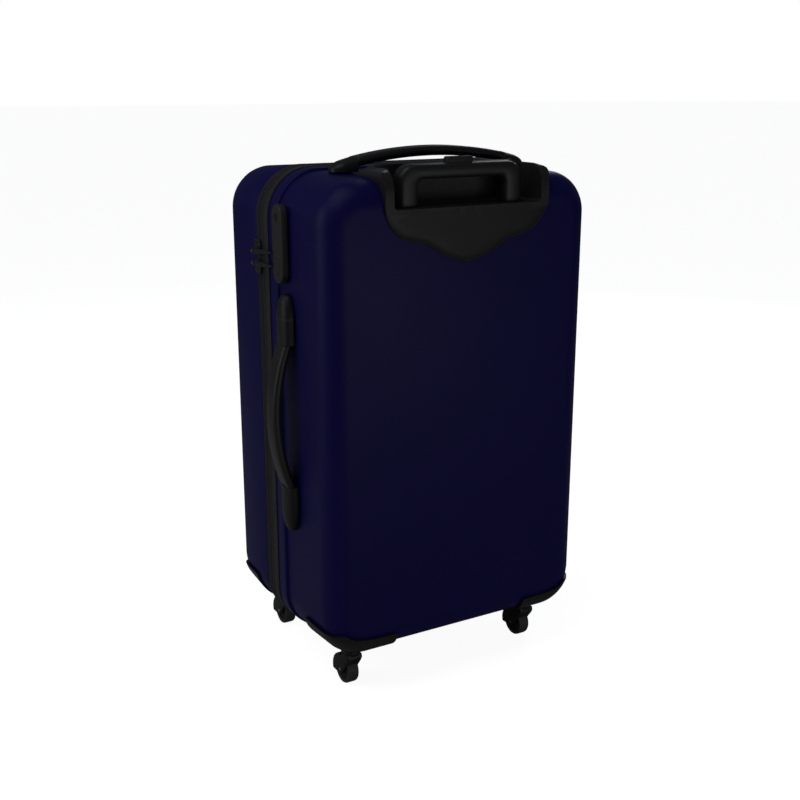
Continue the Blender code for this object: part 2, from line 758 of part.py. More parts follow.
def make_caster(case, looks, place, x, y):
    wheel = (x, y + TRAIL, WHEEL_Z)
    half = WHEEL_WIDTH / 2
    seat = pin_seat(place.startswith("front")) + 0.4
    pin = turned([(7.0, seat + 2.2), (7.0, seat), (4.0, seat - 0.1), (4.0, -24.0)], "Z", (x, y, 0.0), 12)
    node(f"swivel_pin_{place}", pin, looks["steel"], case, (x, y, 0.0))
    node(f"caster_fork_{place}", fork_mesh(x, y), looks["trim"], case, (x, y, WHEEL_Z))
    tread = [
        (WHEEL_R - 4.5, -half + 1.0),
        (WHEEL_R - 1.2, -half),
        (WHEEL_R, -half + 2.6),
        (WHEEL_R, half - 2.6),
        (WHEEL_R - 1.2, half),
        (WHEEL_R - 4.5, half - 1.0),
    ]
    node(f"wheel_tyre_{place}", turned_ring(tread, "X", wheel, 32), looks["tyre"], case, wheel)
    rim = WHEEL_R - 4.8
    hub = [(2.7, -half), (5.5, -half), (6.5, -half + 2.4), (rim, -half + 2.0)]
    hub += [(rim, half - 2.0), (6.5, half - 2.4), (5.5, half), (2.7, half)]
    node(f"wheel_hub_{place}", turned_ring(hub, "X", wheel, 24), looks["plain"], case, wheel)
    reach = half + 3.7
    axle = turned([(2.4, -reach), (2.4, reach)], "X", wheel, 12)
    node(f"wheel_axle_{place}", axle, looks["steel"], case, wheel)


def make_case():
    clear_scene()
    looks = {
        "shell": material("navy_shell", NAVY, 0.32),
        "trim": material("moulded_trim", BLACK, 0.42),
        "grip": material("handle_grip", SOFT_BLACK, 0.40),
        "plain": material("plain_black", BLACK, 0.50),
        "tape": material("zip_tape", TAPE_BLACK, 0.85),
        "coil": material("zip_coil", COIL_GREY, 0.60),
        "slider": material("zip_metal", BLACK, 0.38),
        "tyre": material("wheel_tyre", SOFT_BLACK, 0.55),
        "alloy": material("tube_alloy", ALUMINIUM, 0.35, 1.0),
        "steel": material("pin_steel", STEEL, 0.30, 1.0),
    }
    case = bpy.data.objects.new("CASE", None)
    case.scale = (MM, MM, MM)
    case.location = (-CENTRE_X * MM, -CENTRE_Y * MM, GROUND * MM)
    bpy.context.scene.collection.objects.link(case)
    node("rear_shell", cut(rear_shell_mesh(), shell_opening()), looks["shell"], case)
    node("front_shell", front_shell_mesh(), looks["shell"], case)
    make_zip(case, looks)
    make_hinge(case, looks)
    make_lock(case, looks)
    make_pull_handle(case, looks)
    make_side_handle(case, looks)
    make_top_handle(case, looks)
    make_casters(case, looks)


make_case()
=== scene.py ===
"""A navy hard shell suitcase on four casters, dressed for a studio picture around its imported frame."""

import math

import bmesh
import bpy
from mathutils import Matrix, Vector


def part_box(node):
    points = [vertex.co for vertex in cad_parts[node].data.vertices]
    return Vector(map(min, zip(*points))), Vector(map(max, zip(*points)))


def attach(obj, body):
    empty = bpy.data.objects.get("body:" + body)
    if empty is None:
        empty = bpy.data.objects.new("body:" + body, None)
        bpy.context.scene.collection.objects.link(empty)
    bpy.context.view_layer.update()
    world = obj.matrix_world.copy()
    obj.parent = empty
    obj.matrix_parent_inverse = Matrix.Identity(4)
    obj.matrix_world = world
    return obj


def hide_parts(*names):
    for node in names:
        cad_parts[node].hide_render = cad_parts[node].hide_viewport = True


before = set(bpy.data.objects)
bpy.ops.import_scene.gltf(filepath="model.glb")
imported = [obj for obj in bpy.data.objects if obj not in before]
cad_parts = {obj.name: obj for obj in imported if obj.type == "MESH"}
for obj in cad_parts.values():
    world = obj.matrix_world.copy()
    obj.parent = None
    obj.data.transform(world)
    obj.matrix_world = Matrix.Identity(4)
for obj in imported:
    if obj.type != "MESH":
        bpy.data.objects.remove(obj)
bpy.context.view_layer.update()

MM = 0.001

# ------------------------------------------------------------------ where the case stands
# The case is drawn in millimetres: x from its middle plane, y forward from the flat rear face, z up from
# the lowest flat of the shell. The frame says where that corner of the case is in the room.
RIM_RISE = 8.0
shell_low, shell_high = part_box("rear_shell")
case_x = (shell_low.x + shell_high.x) / 2
case_y = shell_low.y
case_z = shell_low.z + RIM_RISE * MM


def at(x, y, z):
    """A place on the case, in millimetres, as a point in the room."""
    return Vector((case_x + x * MM, case_y + y * MM, case_z + z * MM))


# ------------------------------------------------------------------ room: camera, floor and light
# A pale studio floor and four soft lights: above, beside the lock, low in front of the rear face and a
# strip behind. The camera looks slightly down at the rear face and the side with the lock.
camera_data = bpy.data.cameras.new("camera")
camera_data.lens = 50.5
camera_data.sensor_width = 36.0
camera_data.clip_end = 50.0
camera = bpy.data.objects.new("camera", camera_data)
camera.location = at(-750.6, -1141.8, 707.5)
camera.rotation_euler = (math.radians(90.0 - 15.77), 0.0, math.radians(-29.858))
bpy.context.scene.collection.objects.link(camera)
bpy.context.scene.camera = camera


def soft_light(name, place, aim, size, watts):
    lamp = bpy.data.lights.new(name, "AREA")
    lamp.shape = "RECTANGLE"
    lamp.size, lamp.size_y = size
    lamp.energy = watts
    holder = bpy.data.objects.new(name, lamp)
    holder.location = place
    holder.rotation_mode = "QUATERNION"
    holder.rotation_quaternion = (Vector(aim) - Vector(place)).to_track_quat("-Z", "Y")
    bpy.context.scene.collection.objects.link(holder)


soft_light("overhead", (-0.9, -0.3, 2.4), (0.0, 0.0, 0.3), (1.6, 1.6), 10.0)
soft_light("side_panel", (-2.3, 0.6, 1.0), (0.0, 0.0, 0.35), (1.2, 1.8), 10.0)
soft_light("low_front", (0.3, -2.1, 0.25), (0.0, 0.0, 0.2), (1.8, 0.5), 5.0)
soft_light("rim_strip", (1.7, 1.6, 1.5), (0.0, 0.0, 0.5), (0.5, 1.8), 6.0)


def new_finish(name):
    """An untouched material, with its node tree and its shader."""
    look = bpy.data.materials.new(name)
    look.use_nodes = True
    return look, look.node_tree, look.node_tree.nodes["Principled BSDF"]


def floor_finish():
    """Matt pale vinyl that the lens sees lit up to white, and that the case sees as a plain floor."""
    look, tree, shader = new_finish("studio_floor")
    shader.inputs["Roughness"].default_value = 0.85
    shader.inputs["Specular IOR Level"].default_value = 0.05
    shader.inputs["Emission Color"].default_value = (1.0, 1.0, 1.0, 1.0)
    cloud = tree.nodes.new("ShaderNodeTexNoise")
    cloud.inputs["Scale"].default_value = 3.0
    ramp = tree.nodes.new("ShaderNodeValToRGB")
    ramp.color_ramp.elements[0].color = (0.48, 0.48, 0.48, 1.0)
    ramp.color_ramp.elements[1].color = (0.52, 0.52, 0.52, 1.0)
    path = tree.nodes.new("ShaderNodeLightPath")
    glow = tree.nodes.new("ShaderNodeMath")
    glow.operation = "MULTIPLY"
    glow.inputs[1].default_value = 0.93
    tree.links.new(cloud.outputs["Fac"], ramp.inputs["Fac"])
    tree.links.new(ramp.outputs["Color"], shader.inputs["Base Color"])
    tree.links.new(path.outputs["Is Camera Ray"], glow.inputs[0])
    tree.links.new(glow.outputs[0], shader.inputs["Emission Strength"])
    return look


def studio_floor():
    mesh = bpy.data.meshes.new("studio_floor")
    bm = bmesh.new()
    bmesh.ops.create_grid(bm, x_segments=8, y_segments=8, size=40.0)
    bm.to_mesh(mesh)
    bm.free()
    mesh.materials.append(floor_finish())
    floor = bpy.data.objects.new("studio_floor", mesh)
    floor.location = (0.0, 0.0, -0.0005)
    bpy.context.scene.collection.objects.link(floor)


def studio_air():
    """White behind the object, and a dimmer grey for what the surfaces reflect."""
    world = bpy.data.worlds.new("studio")
    bpy.context.scene.world = world
    world.use_nodes = True
    tree = world.node_tree
    tree.nodes.clear()
    out = tree.nodes.new("ShaderNodeOutputWorld")
    mix = tree.nodes.new("ShaderNodeMixShader")
    path = tree.nodes.new("ShaderNodeLightPath")
    seen = tree.nodes.new("ShaderNodeBackground")
    lit = tree.nodes.new("ShaderNodeBackground")
    seen.inputs["Color"].default_value = (1.0, 1.0, 1.0, 1.0)
    lit.inputs["Color"].default_value = (0.80, 0.86, 1.0, 1.0)
    lit.inputs["Strength"].default_value = 0.08
    tree.links.new(path.outputs["Is Camera Ray"], mix.inputs["Fac"])
    tree.links.new(lit.outputs["Background"], mix.inputs[1])
    tree.links.new(seen.outputs["Background"], mix.inputs[2])
    tree.links.new(mix.outputs["Shader"], out.inputs["Surface"])


studio_floor()
studio_air()
bpy.context.scene.view_settings.view_transform = "Standard"

# ------------------------------------------------------------------ rear and front shells
# Two vacuum-formed shells of dyed polycarbonate, 3 mm thick, with a fine leather-like grain pressed into
# the sheet. The rear one steps out just before the zip and has an opening at its top for the pull handle.
HALF_WIDTH = (shell_high.x - shell_low.x) / 2 / MM - RIM_RISE
HEIGHT = (shell_high.z - shell_low.z) / MM - 2 * RIM_RISE
CASE_DEPTH = (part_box("front_shell")[1].y - shell_low.y) / MM
CORNER = 52.7
EDGE = 34.0
WALL = 3.0
STEP_Y = 122.0
TAPE_Y = 144.5
COIL_Y = 165.2
SPLIT_Y = 173.0
FRONT_Y = 180.8
DRAFT = 4.5
FRONT_SWELL = 2.0


def outline(y, swell, steps=18):
    """The case's rounded outline at one depth, grown past its base size."""
    half, low, high = HALF_WIDTH + swell, -swell, HEIGHT + swell
    radius = max(4.0, CORNER + swell)
    points = []
    for x, z, start in ((half, high, 0), (-half, high, 90), (-half, low, 180), (half, low, 270)):
        cx = x - math.copysign(radius, x)
        cz = z - radius if z == high else z + radius
        for i in range(steps + 1):
            a = math.radians(start + 90.0 * i / steps)
            points.append((cx + radius * math.cos(a), y, cz + radius * math.sin(a)))
    return points


def rounded_edge(face_y, inward, swell, offset=0.0, steps=12):
    """Outlines round the edge of a flat face, from the face to the full width."""
    radius = EDGE + offset
    rings = []
    for i in range(steps + 1):
        a = math.radians(90.0 * i / steps)
        rings.append(outline(face_y + inward * (EDGE - radius * math.cos(a)),
                             swell + offset - radius * (1.0 - math.sin(a))))
    return rings


def draft_at(y):
    return DRAFT * (y - EDGE) / (STEP_Y - EDGE)


def front_swell(y):
    start = CASE_DEPTH - EDGE
    return RIM_RISE - (RIM_RISE - FRONT_SWELL) * (y - SPLIT_Y) / (start - SPLIT_Y)


def closed(bm):
    bmesh.ops.recalc_face_normals(bm, faces=bm.faces)
    mesh = bpy.data.meshes.new("work")
    bm.to_mesh(mesh)
    bm.free()
    return mesh


def moulding(rings, hoop=False):
    """A closed body through rings of points: capped at its ends, or joined into a hoop."""
    bm = bmesh.new()
    rows = [[bm.verts.new(p) for p in ring] for ring in rings]
    pairs = list(zip(rows, rows[1:])) + ([(rows[-1], rows[0])] if hoop else [])
    for low, high in pairs:
        for i in range(len(low)):
            j = (i + 1) % len(low)
            bm.faces.new((low[i], low[j], high[j], high[i]))
    if not hoop:
        bm.faces.new(rows[0])
        bm.faces.new(list(reversed(rows[-1])))
    return closed(bm)


def block(low, high, bevel=0.0, segments=3):
    bm = bmesh.new()
    bmesh.ops.create_cube(bm, size=1.0)
    bmesh.ops.scale(bm, vec=[h - l for l, h in zip(low, high)], verts=bm.verts)
    bmesh.ops.translate(bm, vec=[(h + l) / 2 for l, h in zip(low, high)], verts=bm.verts)
    if bevel:
        bmesh.ops.bevel(bm, geom=bm.edges, offset=bevel, segments=segments, profile=0.5, affect="EDGES")
    return closed(bm)


def combined(mesh, other, operation):
    first = bpy.data.objects.new("first", mesh)
    second = bpy.data.objects.new("second", other)
    for obj in (first, second):
        bpy.context.scene.collection.objects.link(obj)
    step = first.modifiers.new("combine", "BOOLEAN")
    step.operation = operation
    step.object = second
    bpy.context.view_layer.update()
    graph = bpy.context.evaluated_depsgraph_get()
    result = bpy.data.meshes.new_from_object(first.evaluated_get(graph))
    bpy.data.objects.remove(first, do_unlink=True)
    bpy.data.objects.remove(second, do_unlink=True)
    return result


def carve(mesh, *cutters):
    for cutter in cutters:
        mesh = combined(mesh, cutter, "DIFFERENCE")
    return mesh


def weld(mesh, *others):
    for other in others:
        mesh = combined(mesh, other, "UNION")
    return mesh


def fit_piece(name, mesh, look, body, replaced, edge=0.0, smooth=34.0, segments=2):
    """Places a finished mesh on the case, rounds its sharp edges and ties it to its body."""
    mesh.transform(Matrix.Translation(at(0.0, 0.0, 0.0)) @ Matrix.Scale(MM, 4))
    mesh.name = name
    mesh.materials.clear()
    mesh.materials.append(look)
    mesh.shade_smooth()
    mesh.set_sharp_from_angle(angle=math.radians(smooth))
    piece = bpy.data.objects.new(name, mesh)
    bpy.context.scene.collection.objects.link(piece)
    if edge:
        soften = piece.modifiers.new("soften", "BEVEL")
        soften.width = edge * MM
        soften.segments = segments
        soften.limit_method = "ANGLE"
        soften.angle_limit = math.radians(smooth)
        soften.use_clamp_overlap = True
        mesh.shade_smooth()
    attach(piece, body)
    if replaced:
        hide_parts(*replaced)


def group(name, inputs, outputs):
    """An empty shader group with named sockets, and its two end nodes."""
    made = bpy.data.node_groups.new(name, "ShaderNodeTree")
    for label, kind, value in inputs:
        socket = made.interface.new_socket(label, in_out="INPUT", socket_type=kind)
        socket.default_value = value
    for label, kind in outputs:
        made.interface.new_socket(label, in_out="OUTPUT", socket_type=kind)
    return made, made.nodes.new("NodeGroupInput"), made.nodes.new("NodeGroupOutput")


def maths(tree, operation, first, second=None, clamp=False):
    """A Math node fed by sockets or numbers, giving its output socket."""
    step = tree.nodes.new("ShaderNodeMath")
    step.operation = operation
    step.use_clamp = clamp
    for slot, value in zip(step.inputs, (first, second)):
        if isinstance(value, (int, float)):
            slot.default_value = value
        elif value is not None:
            tree.links.new(value, slot)
    return step.outputs[0]


def noise(tree, place, scale, detail=2.0, rough=0.5):
    made = tree.nodes.new("ShaderNodeTexNoise")
    made.inputs["Scale"].default_value = scale
    made.inputs["Detail"].default_value = detail
    made.inputs["Roughness"].default_value = rough
    tree.links.new(place, made.inputs["Vector"])
    return made.outputs["Fac"]


def between(tree, value, low, high):
    """A mask that runs from none at the low value to full at the high one."""
    span = tree.nodes.new("ShaderNodeMapRange")
    span.inputs["From Min"].default_value = low
    span.inputs["From Max"].default_value = high
    tree.links.new(value, span.inputs["Value"])
    return span.outputs["Result"]


def pressed_grain():
    """Small rounded cells with finer pits between them, as left by a textured mould."""
    tree, start, end = group(
        "pressed grain",
        [("Cell Size", "NodeSocketFloat", 900.0), ("Pit Depth", "NodeSocketFloat", 0.35)],
        [("Height", "NodeSocketFloat"), ("Pits", "NodeSocketFloat")],
    )
    place = tree.nodes.new("ShaderNodeTexCoord").outputs["Object"]
    cells = tree.nodes.new("ShaderNodeTexVoronoi")
    cells.feature = "SMOOTH_F1"
    cells.inputs["Smoothness"].default_value = 0.6
    tree.links.new(place, cells.inputs["Vector"])
    tree.links.new(start.outputs["Cell Size"], cells.inputs["Scale"])
    fine = noise(tree, place, 2600.0, 2.0)
    pits = maths(tree, "MULTIPLY", fine, start.outputs["Pit Depth"])
    high = maths(tree, "ADD", cells.outputs["Distance"], pits)
    tree.links.new(high, end.inputs["Height"])
    tree.links.new(fine, end.inputs["Pits"])
    return tree


def handling_marks():
    """Soft smudges from hands and a few short rubbed streaks, as a mask from none to full."""
    tree, start, end = group(
        "handling marks",
        [("Spread", "NodeSocketFloat", 6.0), ("Amount", "NodeSocketFloat", 0.5)],
        [("Smudge", "NodeSocketFloat"), ("Rub", "NodeSocketFloat")],
    )
    place = tree.nodes.new("ShaderNodeTexCoord").outputs["Object"]
    cloud = tree.nodes.new("ShaderNodeTexNoise")
    cloud.inputs["Detail"].default_value = 4.0
    tree.links.new(place, cloud.inputs["Vector"])
    tree.links.new(start.outputs["Spread"], cloud.inputs["Scale"])
    spread = between(tree, cloud.outputs["Fac"], 0.42, 0.72)
    smudge = maths(tree, "MULTIPLY", spread, start.outputs["Amount"])
    turn = tree.nodes.new("ShaderNodeMapping")
    turn.inputs["Rotation"].default_value = (0.4, 0.9, 0.3)
    turn.inputs["Scale"].default_value = (9.0, 9.0, 170.0)
    tree.links.new(place, turn.inputs["Vector"])
    streak = noise(tree, turn.outputs["Vector"], 1.0, 3.0, 0.6)
    rub = maths(tree, "MULTIPLY", between(tree, streak, 0.66, 0.74), smudge)
    tree.links.new(smudge, end.inputs["Smudge"])
    tree.links.new(rub, end.inputs["Rub"])
    return tree


def worn_edges():
    """Where a convex edge has been rubbed bright: a mask broken up by noise."""
    tree, start, end = group(
        "worn edges", [("Amount", "NodeSocketFloat", 0.5)], [("Wear", "NodeSocketFloat")]
    )
    form = tree.nodes.new("ShaderNodeNewGeometry")
    place = tree.nodes.new("ShaderNodeTexCoord").outputs["Object"]
    sharp = between(tree, form.outputs["Pointiness"], 0.54, 0.66)
    mask = maths(tree, "MULTIPLY", sharp, noise(tree, place, 160.0, 3.0, 0.65))
    tree.links.new(maths(tree, "MULTIPLY", mask, start.outputs["Amount"]), end.inputs["Wear"])
    return tree


PRESSED_GRAIN = pressed_grain()
HANDLING = handling_marks()
EDGE_WEAR = worn_edges()


def placed(tree, made, **values):
    """A shader group set into a material with its own values."""
    node = tree.nodes.new("ShaderNodeGroup")
    node.node_tree = made
    for label, value in values.items():
        node.inputs[label.replace("_", " ")].default_value = value
    return node


def mixed(tree, mask, first, second):
    """Two colours, or a socket and a colour, mixed by a mask."""
    mix = tree.nodes.new("ShaderNodeMix")
    mix.data_type = "RGBA"
    tree.links.new(mask, mix.inputs["Factor"])
    for slot, value in ((mix.inputs["A"], first), (mix.inputs["B"], second)):
        if isinstance(value, tuple):
            slot.default_value = (*value, 1.0)
        else:
            tree.links.new(value, slot)
    return mix.outputs["Result"]


def relief(tree, shader, height, strength, depth):
    """Raises the surface by a height socket, to a depth in millimetres."""
    bump = tree.nodes.new("ShaderNodeBump")
    bump.inputs["Strength"].default_value = strength
    bump.inputs["Distance"].default_value = depth * MM
    tree.links.new(height, bump.inputs["Height"])
    tree.links.new(bump.outputs["Normal"], shader.inputs["Normal"])


def moulded_plastic(name, colour, light, rough, cell, depth, marks, wear, gloss):
    """Dyed plastic with a pressed grain, hand marks, and paler edges where it has been knocked."""
    look, tree, shader = new_finish(name)
    shader.inputs["Specular IOR Level"].default_value = gloss
    place = tree.nodes.new("ShaderNodeTexCoord").outputs["Object"]
    grain = placed(tree, PRESSED_GRAIN, Cell_Size=cell)
    hands = placed(tree, HANDLING, Amount=marks)
    edges = placed(tree, EDGE_WEAR, Amount=wear)
    cloud = noise(tree, place, 14.0, 3.0)
    deep = tuple(0.86 * c for c in colour)
    base = mixed(tree, cloud, deep, tuple(1.10 * c for c in colour))
    rubbed = maths(tree, "MAXIMUM", hands.outputs["Rub"], edges.outputs["Wear"])
    tree.links.new(mixed(tree, rubbed, base, light), shader.inputs["Base Color"])
    pits = maths(tree, "MULTIPLY", grain.outputs["Pits"], 0.10)
    smudged = maths(tree, "MULTIPLY", hands.outputs["Smudge"], 0.12)
    total = maths(tree, "ADD", maths(tree, "ADD", pits, rough - 0.05), smudged, clamp=True)
    tree.links.new(total, shader.inputs["Roughness"])
    relief(tree, shader, grain.outputs["Height"], 0.35, depth)
    return look


def cup(outer, inner):
    """A wall between an outer and an inner row of outlines, open at the last."""
    bm = bmesh.new()
    skins = []
    for rings in (outer, inner):
        rows = [[bm.verts.new(p) for p in ring] for ring in rings]
        bm.faces.new(rows[0])
        skins.append(rows)
    strips = [pair for rows in skins for pair in zip(rows, rows[1:])] + [(skins[0][-1], skins[1][-1])]
    for low, high in strips:
        for i in range(len(low)):
            j = (i + 1) % len(low)
            bm.faces.new((low[i], low[j], high[j], high[i]))
    return closed(bm)


def rear_shell():
    outer = rounded_edge(0.0, 1.0, 0.0)
    outer.append(outline(STEP_Y - 1.0, draft_at(STEP_Y - 1.0)))
    for forward, rise in ((0.0, 0.0), (0.35, 1.0), (0.8, 2.1), (1.4, 2.8), (2.4, 3.1)):
        outer.append(outline(STEP_Y + forward, DRAFT + rise))
    outer.append(outline(TAPE_Y - 1.2, RIM_RISE))
    outer.append(outline(TAPE_Y - 0.4, RIM_RISE - 0.5))
    outer.append(outline(TAPE_Y - 0.3, RIM_RISE - 2.6))
    outer.append(outline(COIL_Y - 2.0, RIM_RISE - 2.6))
    inner = rounded_edge(0.0, 1.0, 0.0, -WALL)
    inner.append(outline(STEP_Y - 1.0, DRAFT - WALL))
    inner.append(outline(STEP_Y + 4.0, RIM_RISE - 2.6 - WALL))
    inner.append(outline(COIL_Y - 2.0, RIM_RISE - 2.6 - WALL))
    return cup(outer, inner)


def front_shell():
    outer = rounded_edge(CASE_DEPTH, -1.0, FRONT_SWELL)
    outer.append(outline(FRONT_Y + 4.0, front_swell(FRONT_Y)))
    outer.append(outline(FRONT_Y + 3.0, front_swell(FRONT_Y) - 0.5))
    outer.append(outline(FRONT_Y + 2.0, RIM_RISE - 2.6))
    outer.append(outline(SPLIT_Y + 3.0, RIM_RISE - 2.6))
    inner = rounded_edge(CASE_DEPTH, -1.0, FRONT_SWELL, -WALL)
    inner.append(outline(FRONT_Y + 4.0, RIM_RISE - 2.6 - WALL))
    inner.append(outline(SPLIT_Y + 3.0, RIM_RISE - 2.6 - WALL))
    return cup(outer, inner)


NAVY = (0.0066, 0.0044, 0.0720)
WORN_NAVY = (0.030, 0.028, 0.120)
shell_look = moulded_plastic("navy polycarbonate", NAVY, WORN_NAVY, 0.42, 900.0, 0.05, 0.35, 0.10, 0.11)

POCKET_X = 105.0
POCKET_Y = 48.0
LEDGE_Z = 565.5
POCKET_WALL = 3.5
opening = block(
    (-POCKET_X - POCKET_WALL - 0.3, -20.0, LEDGE_Z - 6.3),
    (POCKET_X + POCKET_WALL + 0.3, POCKET_Y + POCKET_WALL + 0.3, HEIGHT + 30.0),
)
fit_piece("shell_rear", carve(rear_shell(), opening), shell_look, "rear_case", ["rear_shell"])
fit_piece("shell_front", front_shell(), shell_look, "front_case", ["front_shell"])

# ------------------------------------------------------------------ zip tape, stitching and coil
# A black woven polyester tape is stitched to the rear shell's rebate. A nylon coil, its turns set into
# each other, closes the gap to the front shell; each half stays with its own shell.
TAPE_LOW = RIM_RISE - 2.3


def woven_cloth():
    """Plain weave: threads along and across the tape, with the height and the gaps between threads."""
    tree, start, end = group(
        "woven cloth",
        [("Threads", "NodeSocketFloat", 1500.0)],
        [("Height", "NodeSocketFloat"), ("Shade", "NodeSocketFloat")],
    )
    place = tree.nodes.new("ShaderNodeTexCoord").outputs["Object"]
    waves = []
    for direction in ("Y", "DIAGONAL"):
        wave = tree.nodes.new("ShaderNodeTexWave")
        wave.wave_type = "BANDS"
        wave.bands_direction = direction
        wave.inputs["Distortion"].default_value = 0.6
        wave.inputs["Detail"].default_value = 1.0
        tree.links.new(place, wave.inputs["Vector"])
        tree.links.new(start.outputs["Threads"], wave.inputs["Scale"])
        waves.append(wave.outputs["Fac"])
    both = maths(tree, "MULTIPLY", waves[0], waves[1])
    fuzz = noise(tree, place, 3000.0, 2.0)
    tree.links.new(maths(tree, "ADD", both, maths(tree, "MULTIPLY", fuzz, 0.3)), end.inputs["Height"])
    tree.links.new(both, end.inputs["Shade"])
    return tree


WOVEN = woven_cloth()


def woven_tape(name, colour, light, threads):
    look, tree, shader = new_finish(name)
    shader.inputs["Specular IOR Level"].default_value = 0.15
    shader.inputs["Sheen Weight"].default_value = 0.12
    cloth = placed(tree, WOVEN, Threads=threads)
    tree.links.new(mixed(tree, cloth.outputs["Shade"], colour, light), shader.inputs["Base Color"])
    rough = maths(tree, "ADD", maths(tree, "MULTIPLY", cloth.outputs["Shade"], 0.12), 0.78)
    tree.links.new(rough, shader.inputs["Roughness"])
    relief(tree, shader, cloth.outputs["Height"], 0.5, 0.12)
    return look


def along_outline(swell, pitch):
    """Even places round the case's outline: (x, z, direction of the outline) for each."""
    half, low, high = HALF_WIDTH + swell, -swell, HEIGHT + swell
    radius = CORNER + swell
    wide, tall, arc = 2 * (half - radius), high - low - 2 * radius, math.pi / 2 * radius
    legs = []
    for cx, cz, start in (
        (half - radius, high - radius, 0.0),
        (radius - half, high - radius, math.pi / 2),
        (radius - half, low + radius, math.pi),
        (half - radius, low + radius, 1.5 * math.pi),
    ):
        straight = wide if start in (0.0, math.pi) else tall
        legs.append((cx, cz, start, straight))
    total = 2 * (wide + tall) + 4 * arc
    count = round(total / pitch)
    for i in range(count):
        run = total * i / count
        for cx, cz, start, straight in legs:
            if run < arc:
                a = start + run / radius
                yield cx + radius * math.cos(a), cz + radius * math.sin(a), a + math.pi / 2
                break
            run -= arc
            if run < straight:
                a = start + math.pi / 2
                x = cx + radius * math.cos(a) - run * math.sin(a)
                yield x, cz + radius * math.sin(a) + run * math.cos(a), a + math.pi / 2
                break
            run -= straight


def studs(places, y, length, wide, high, lift, lengthwise):
    """Small domed studs on the outline: stitches run with it, coil turns lie across it."""
    bm = bmesh.new()
    for x, z, heading in places:
        run = Vector((math.cos(heading), 0.0, math.sin(heading)))
        out = Vector((math.sin(heading), 0.0, -math.cos(heading)))
        along = run if lengthwise else Vector((0.0, 1.0, 0.0))
        side = Vector((0.0, 1.0, 0.0)) if lengthwise else run
        centre = Vector((x, y, z)) + out * lift
        ends = [(-0.5, 0.55), (-0.32, 1.0), (0.32, 1.0), (0.5, 0.55)]
        rows = []
        for step, fat in ends:
            base = centre + along * (step * length)
            rows.append([
                bm.verts.new(base + side * (-wide / 2 * fat)),
                bm.verts.new(base + side * (-wide / 4 * fat) + out * (high * fat)),
                bm.verts.new(base + side * (wide / 4 * fat) + out * (high * fat)),
                bm.verts.new(base + side * (wide / 2 * fat)),
            ])
        for low, top in zip(rows, rows[1:]):
            for i in range(4):
                j = (i + 1) % 4
                bm.faces.new((low[i], low[j], top[j], top[i]))
        bm.faces.new(rows[0])
        bm.faces.new(list(reversed(rows[-1])))
    return closed(bm)


TAPE_BLACK = (0.0120, 0.0118, 0.0150)
TAPE_LIGHT = (0.0110, 0.0110, 0.0115)
tape_look = woven_tape("woven zip tape", TAPE_BLACK, TAPE_LIGHT, 900.0)
thread_look = woven_tape("stitching thread", (0.007, 0.007, 0.0073), (0.016, 0.016, 0.017), 1800.0)

tape_rings = [
    (TAPE_Y, TAPE_LOW), (TAPE_Y, 7.4), (TAPE_Y + 0.6, 8.6), (TAPE_Y + 1.8, 8.9), (TAPE_Y + 3.0, 8.4),
    (TAPE_Y + 4.0, 8.1), (COIL_Y - 2.5, 8.1), (COIL_Y - 1.2, 8.5), (COIL_Y - 0.3, 8.3),
    (COIL_Y - 0.3, TAPE_LOW),
]
tape_mesh = moulding([outline(y, rise) for y, rise in tape_rings], hoop=True)
fit_piece("zip_tape", tape_mesh, tape_look, "rear_case", ["rear_zip_tape"])
for row, y in enumerate((TAPE_Y + 5.6, COIL_Y - 4.2)):
    stitches = studs(along_outline(8.1, 3.4), y, 2.5, 0.7, 0.35, -0.05, lengthwise=True)
    fit_piece(f"tape_stitches_{row + 1}", stitches, thread_look, "rear_case", [])

COIL_TONE = (0.0200, 0.0198, 0.0230)
COIL_PALE = (0.050, 0.050, 0.054)
coil_look = moulded_plastic("nylon zip coil", COIL_TONE, COIL_PALE, 0.50, 1500.0, 0.03, 0.3, 0.5, 0.35)
ribbon_look = woven_tape("coil ribbon", (0.012, 0.012, 0.0125), (0.024, 0.024, 0.025), 1100.0)
TOOTH_PITCH = 2.3
TOOTH_LIFT = RIM_RISE - 0.2
halves = {"rear": (COIL_Y, SPLIT_Y - 0.15, 0), "front": (SPLIT_Y + 0.15, FRONT_Y, 1)}
for half, (low, high, shift) in halves.items():
    body = f"{half}_case"
    hoop_rings = [(low, TAPE_LOW), (low, 7.6), (low + 0.8, 8.2)]
    hoop_rings += [(high - 0.8, 8.2), (high, 7.6), (high, TAPE_LOW)]
    ribbon = moulding([outline(y, rise) for y, rise in hoop_rings], hoop=True)
    fit_piece(f"coil_ribbon_{half}", ribbon, ribbon_look, body, [f"{half}_zip_coil"])
    places = list(along_outline(TOOTH_LIFT, TOOTH_PITCH / 2))[shift::2]
    inner = high - 2.9 if half == "rear" else low + 2.9
    teeth = studs(places, inner, 5.4, 1.6, 1.5, 0.0, lengthwise=False)
    fit_piece(f"coil_turns_{half}", teeth, coil_look, body, [])

# ------------------------------------------------------------------ zip sliders and pullers
# Two enamelled die-cast sliders run on the coil. Each carries a slim pointed puller on a round bridge,
# and both pullers lie towards the lock.
SLIDER_Z = {"upper": 504.5, "lower": 489.5}
PULLER_RISE = {"upper": 4.0, "lower": 2.4}
COIL_SKIN = -(HALF_WIDTH + RIM_RISE + 1.3)
BRIDGE_X = COIL_SKIN - 7.6
BRIDGE_Y = SPLIT_Y + 1.0
PULLER_TIP = 118.2
BODY_OFFSET = 5.5


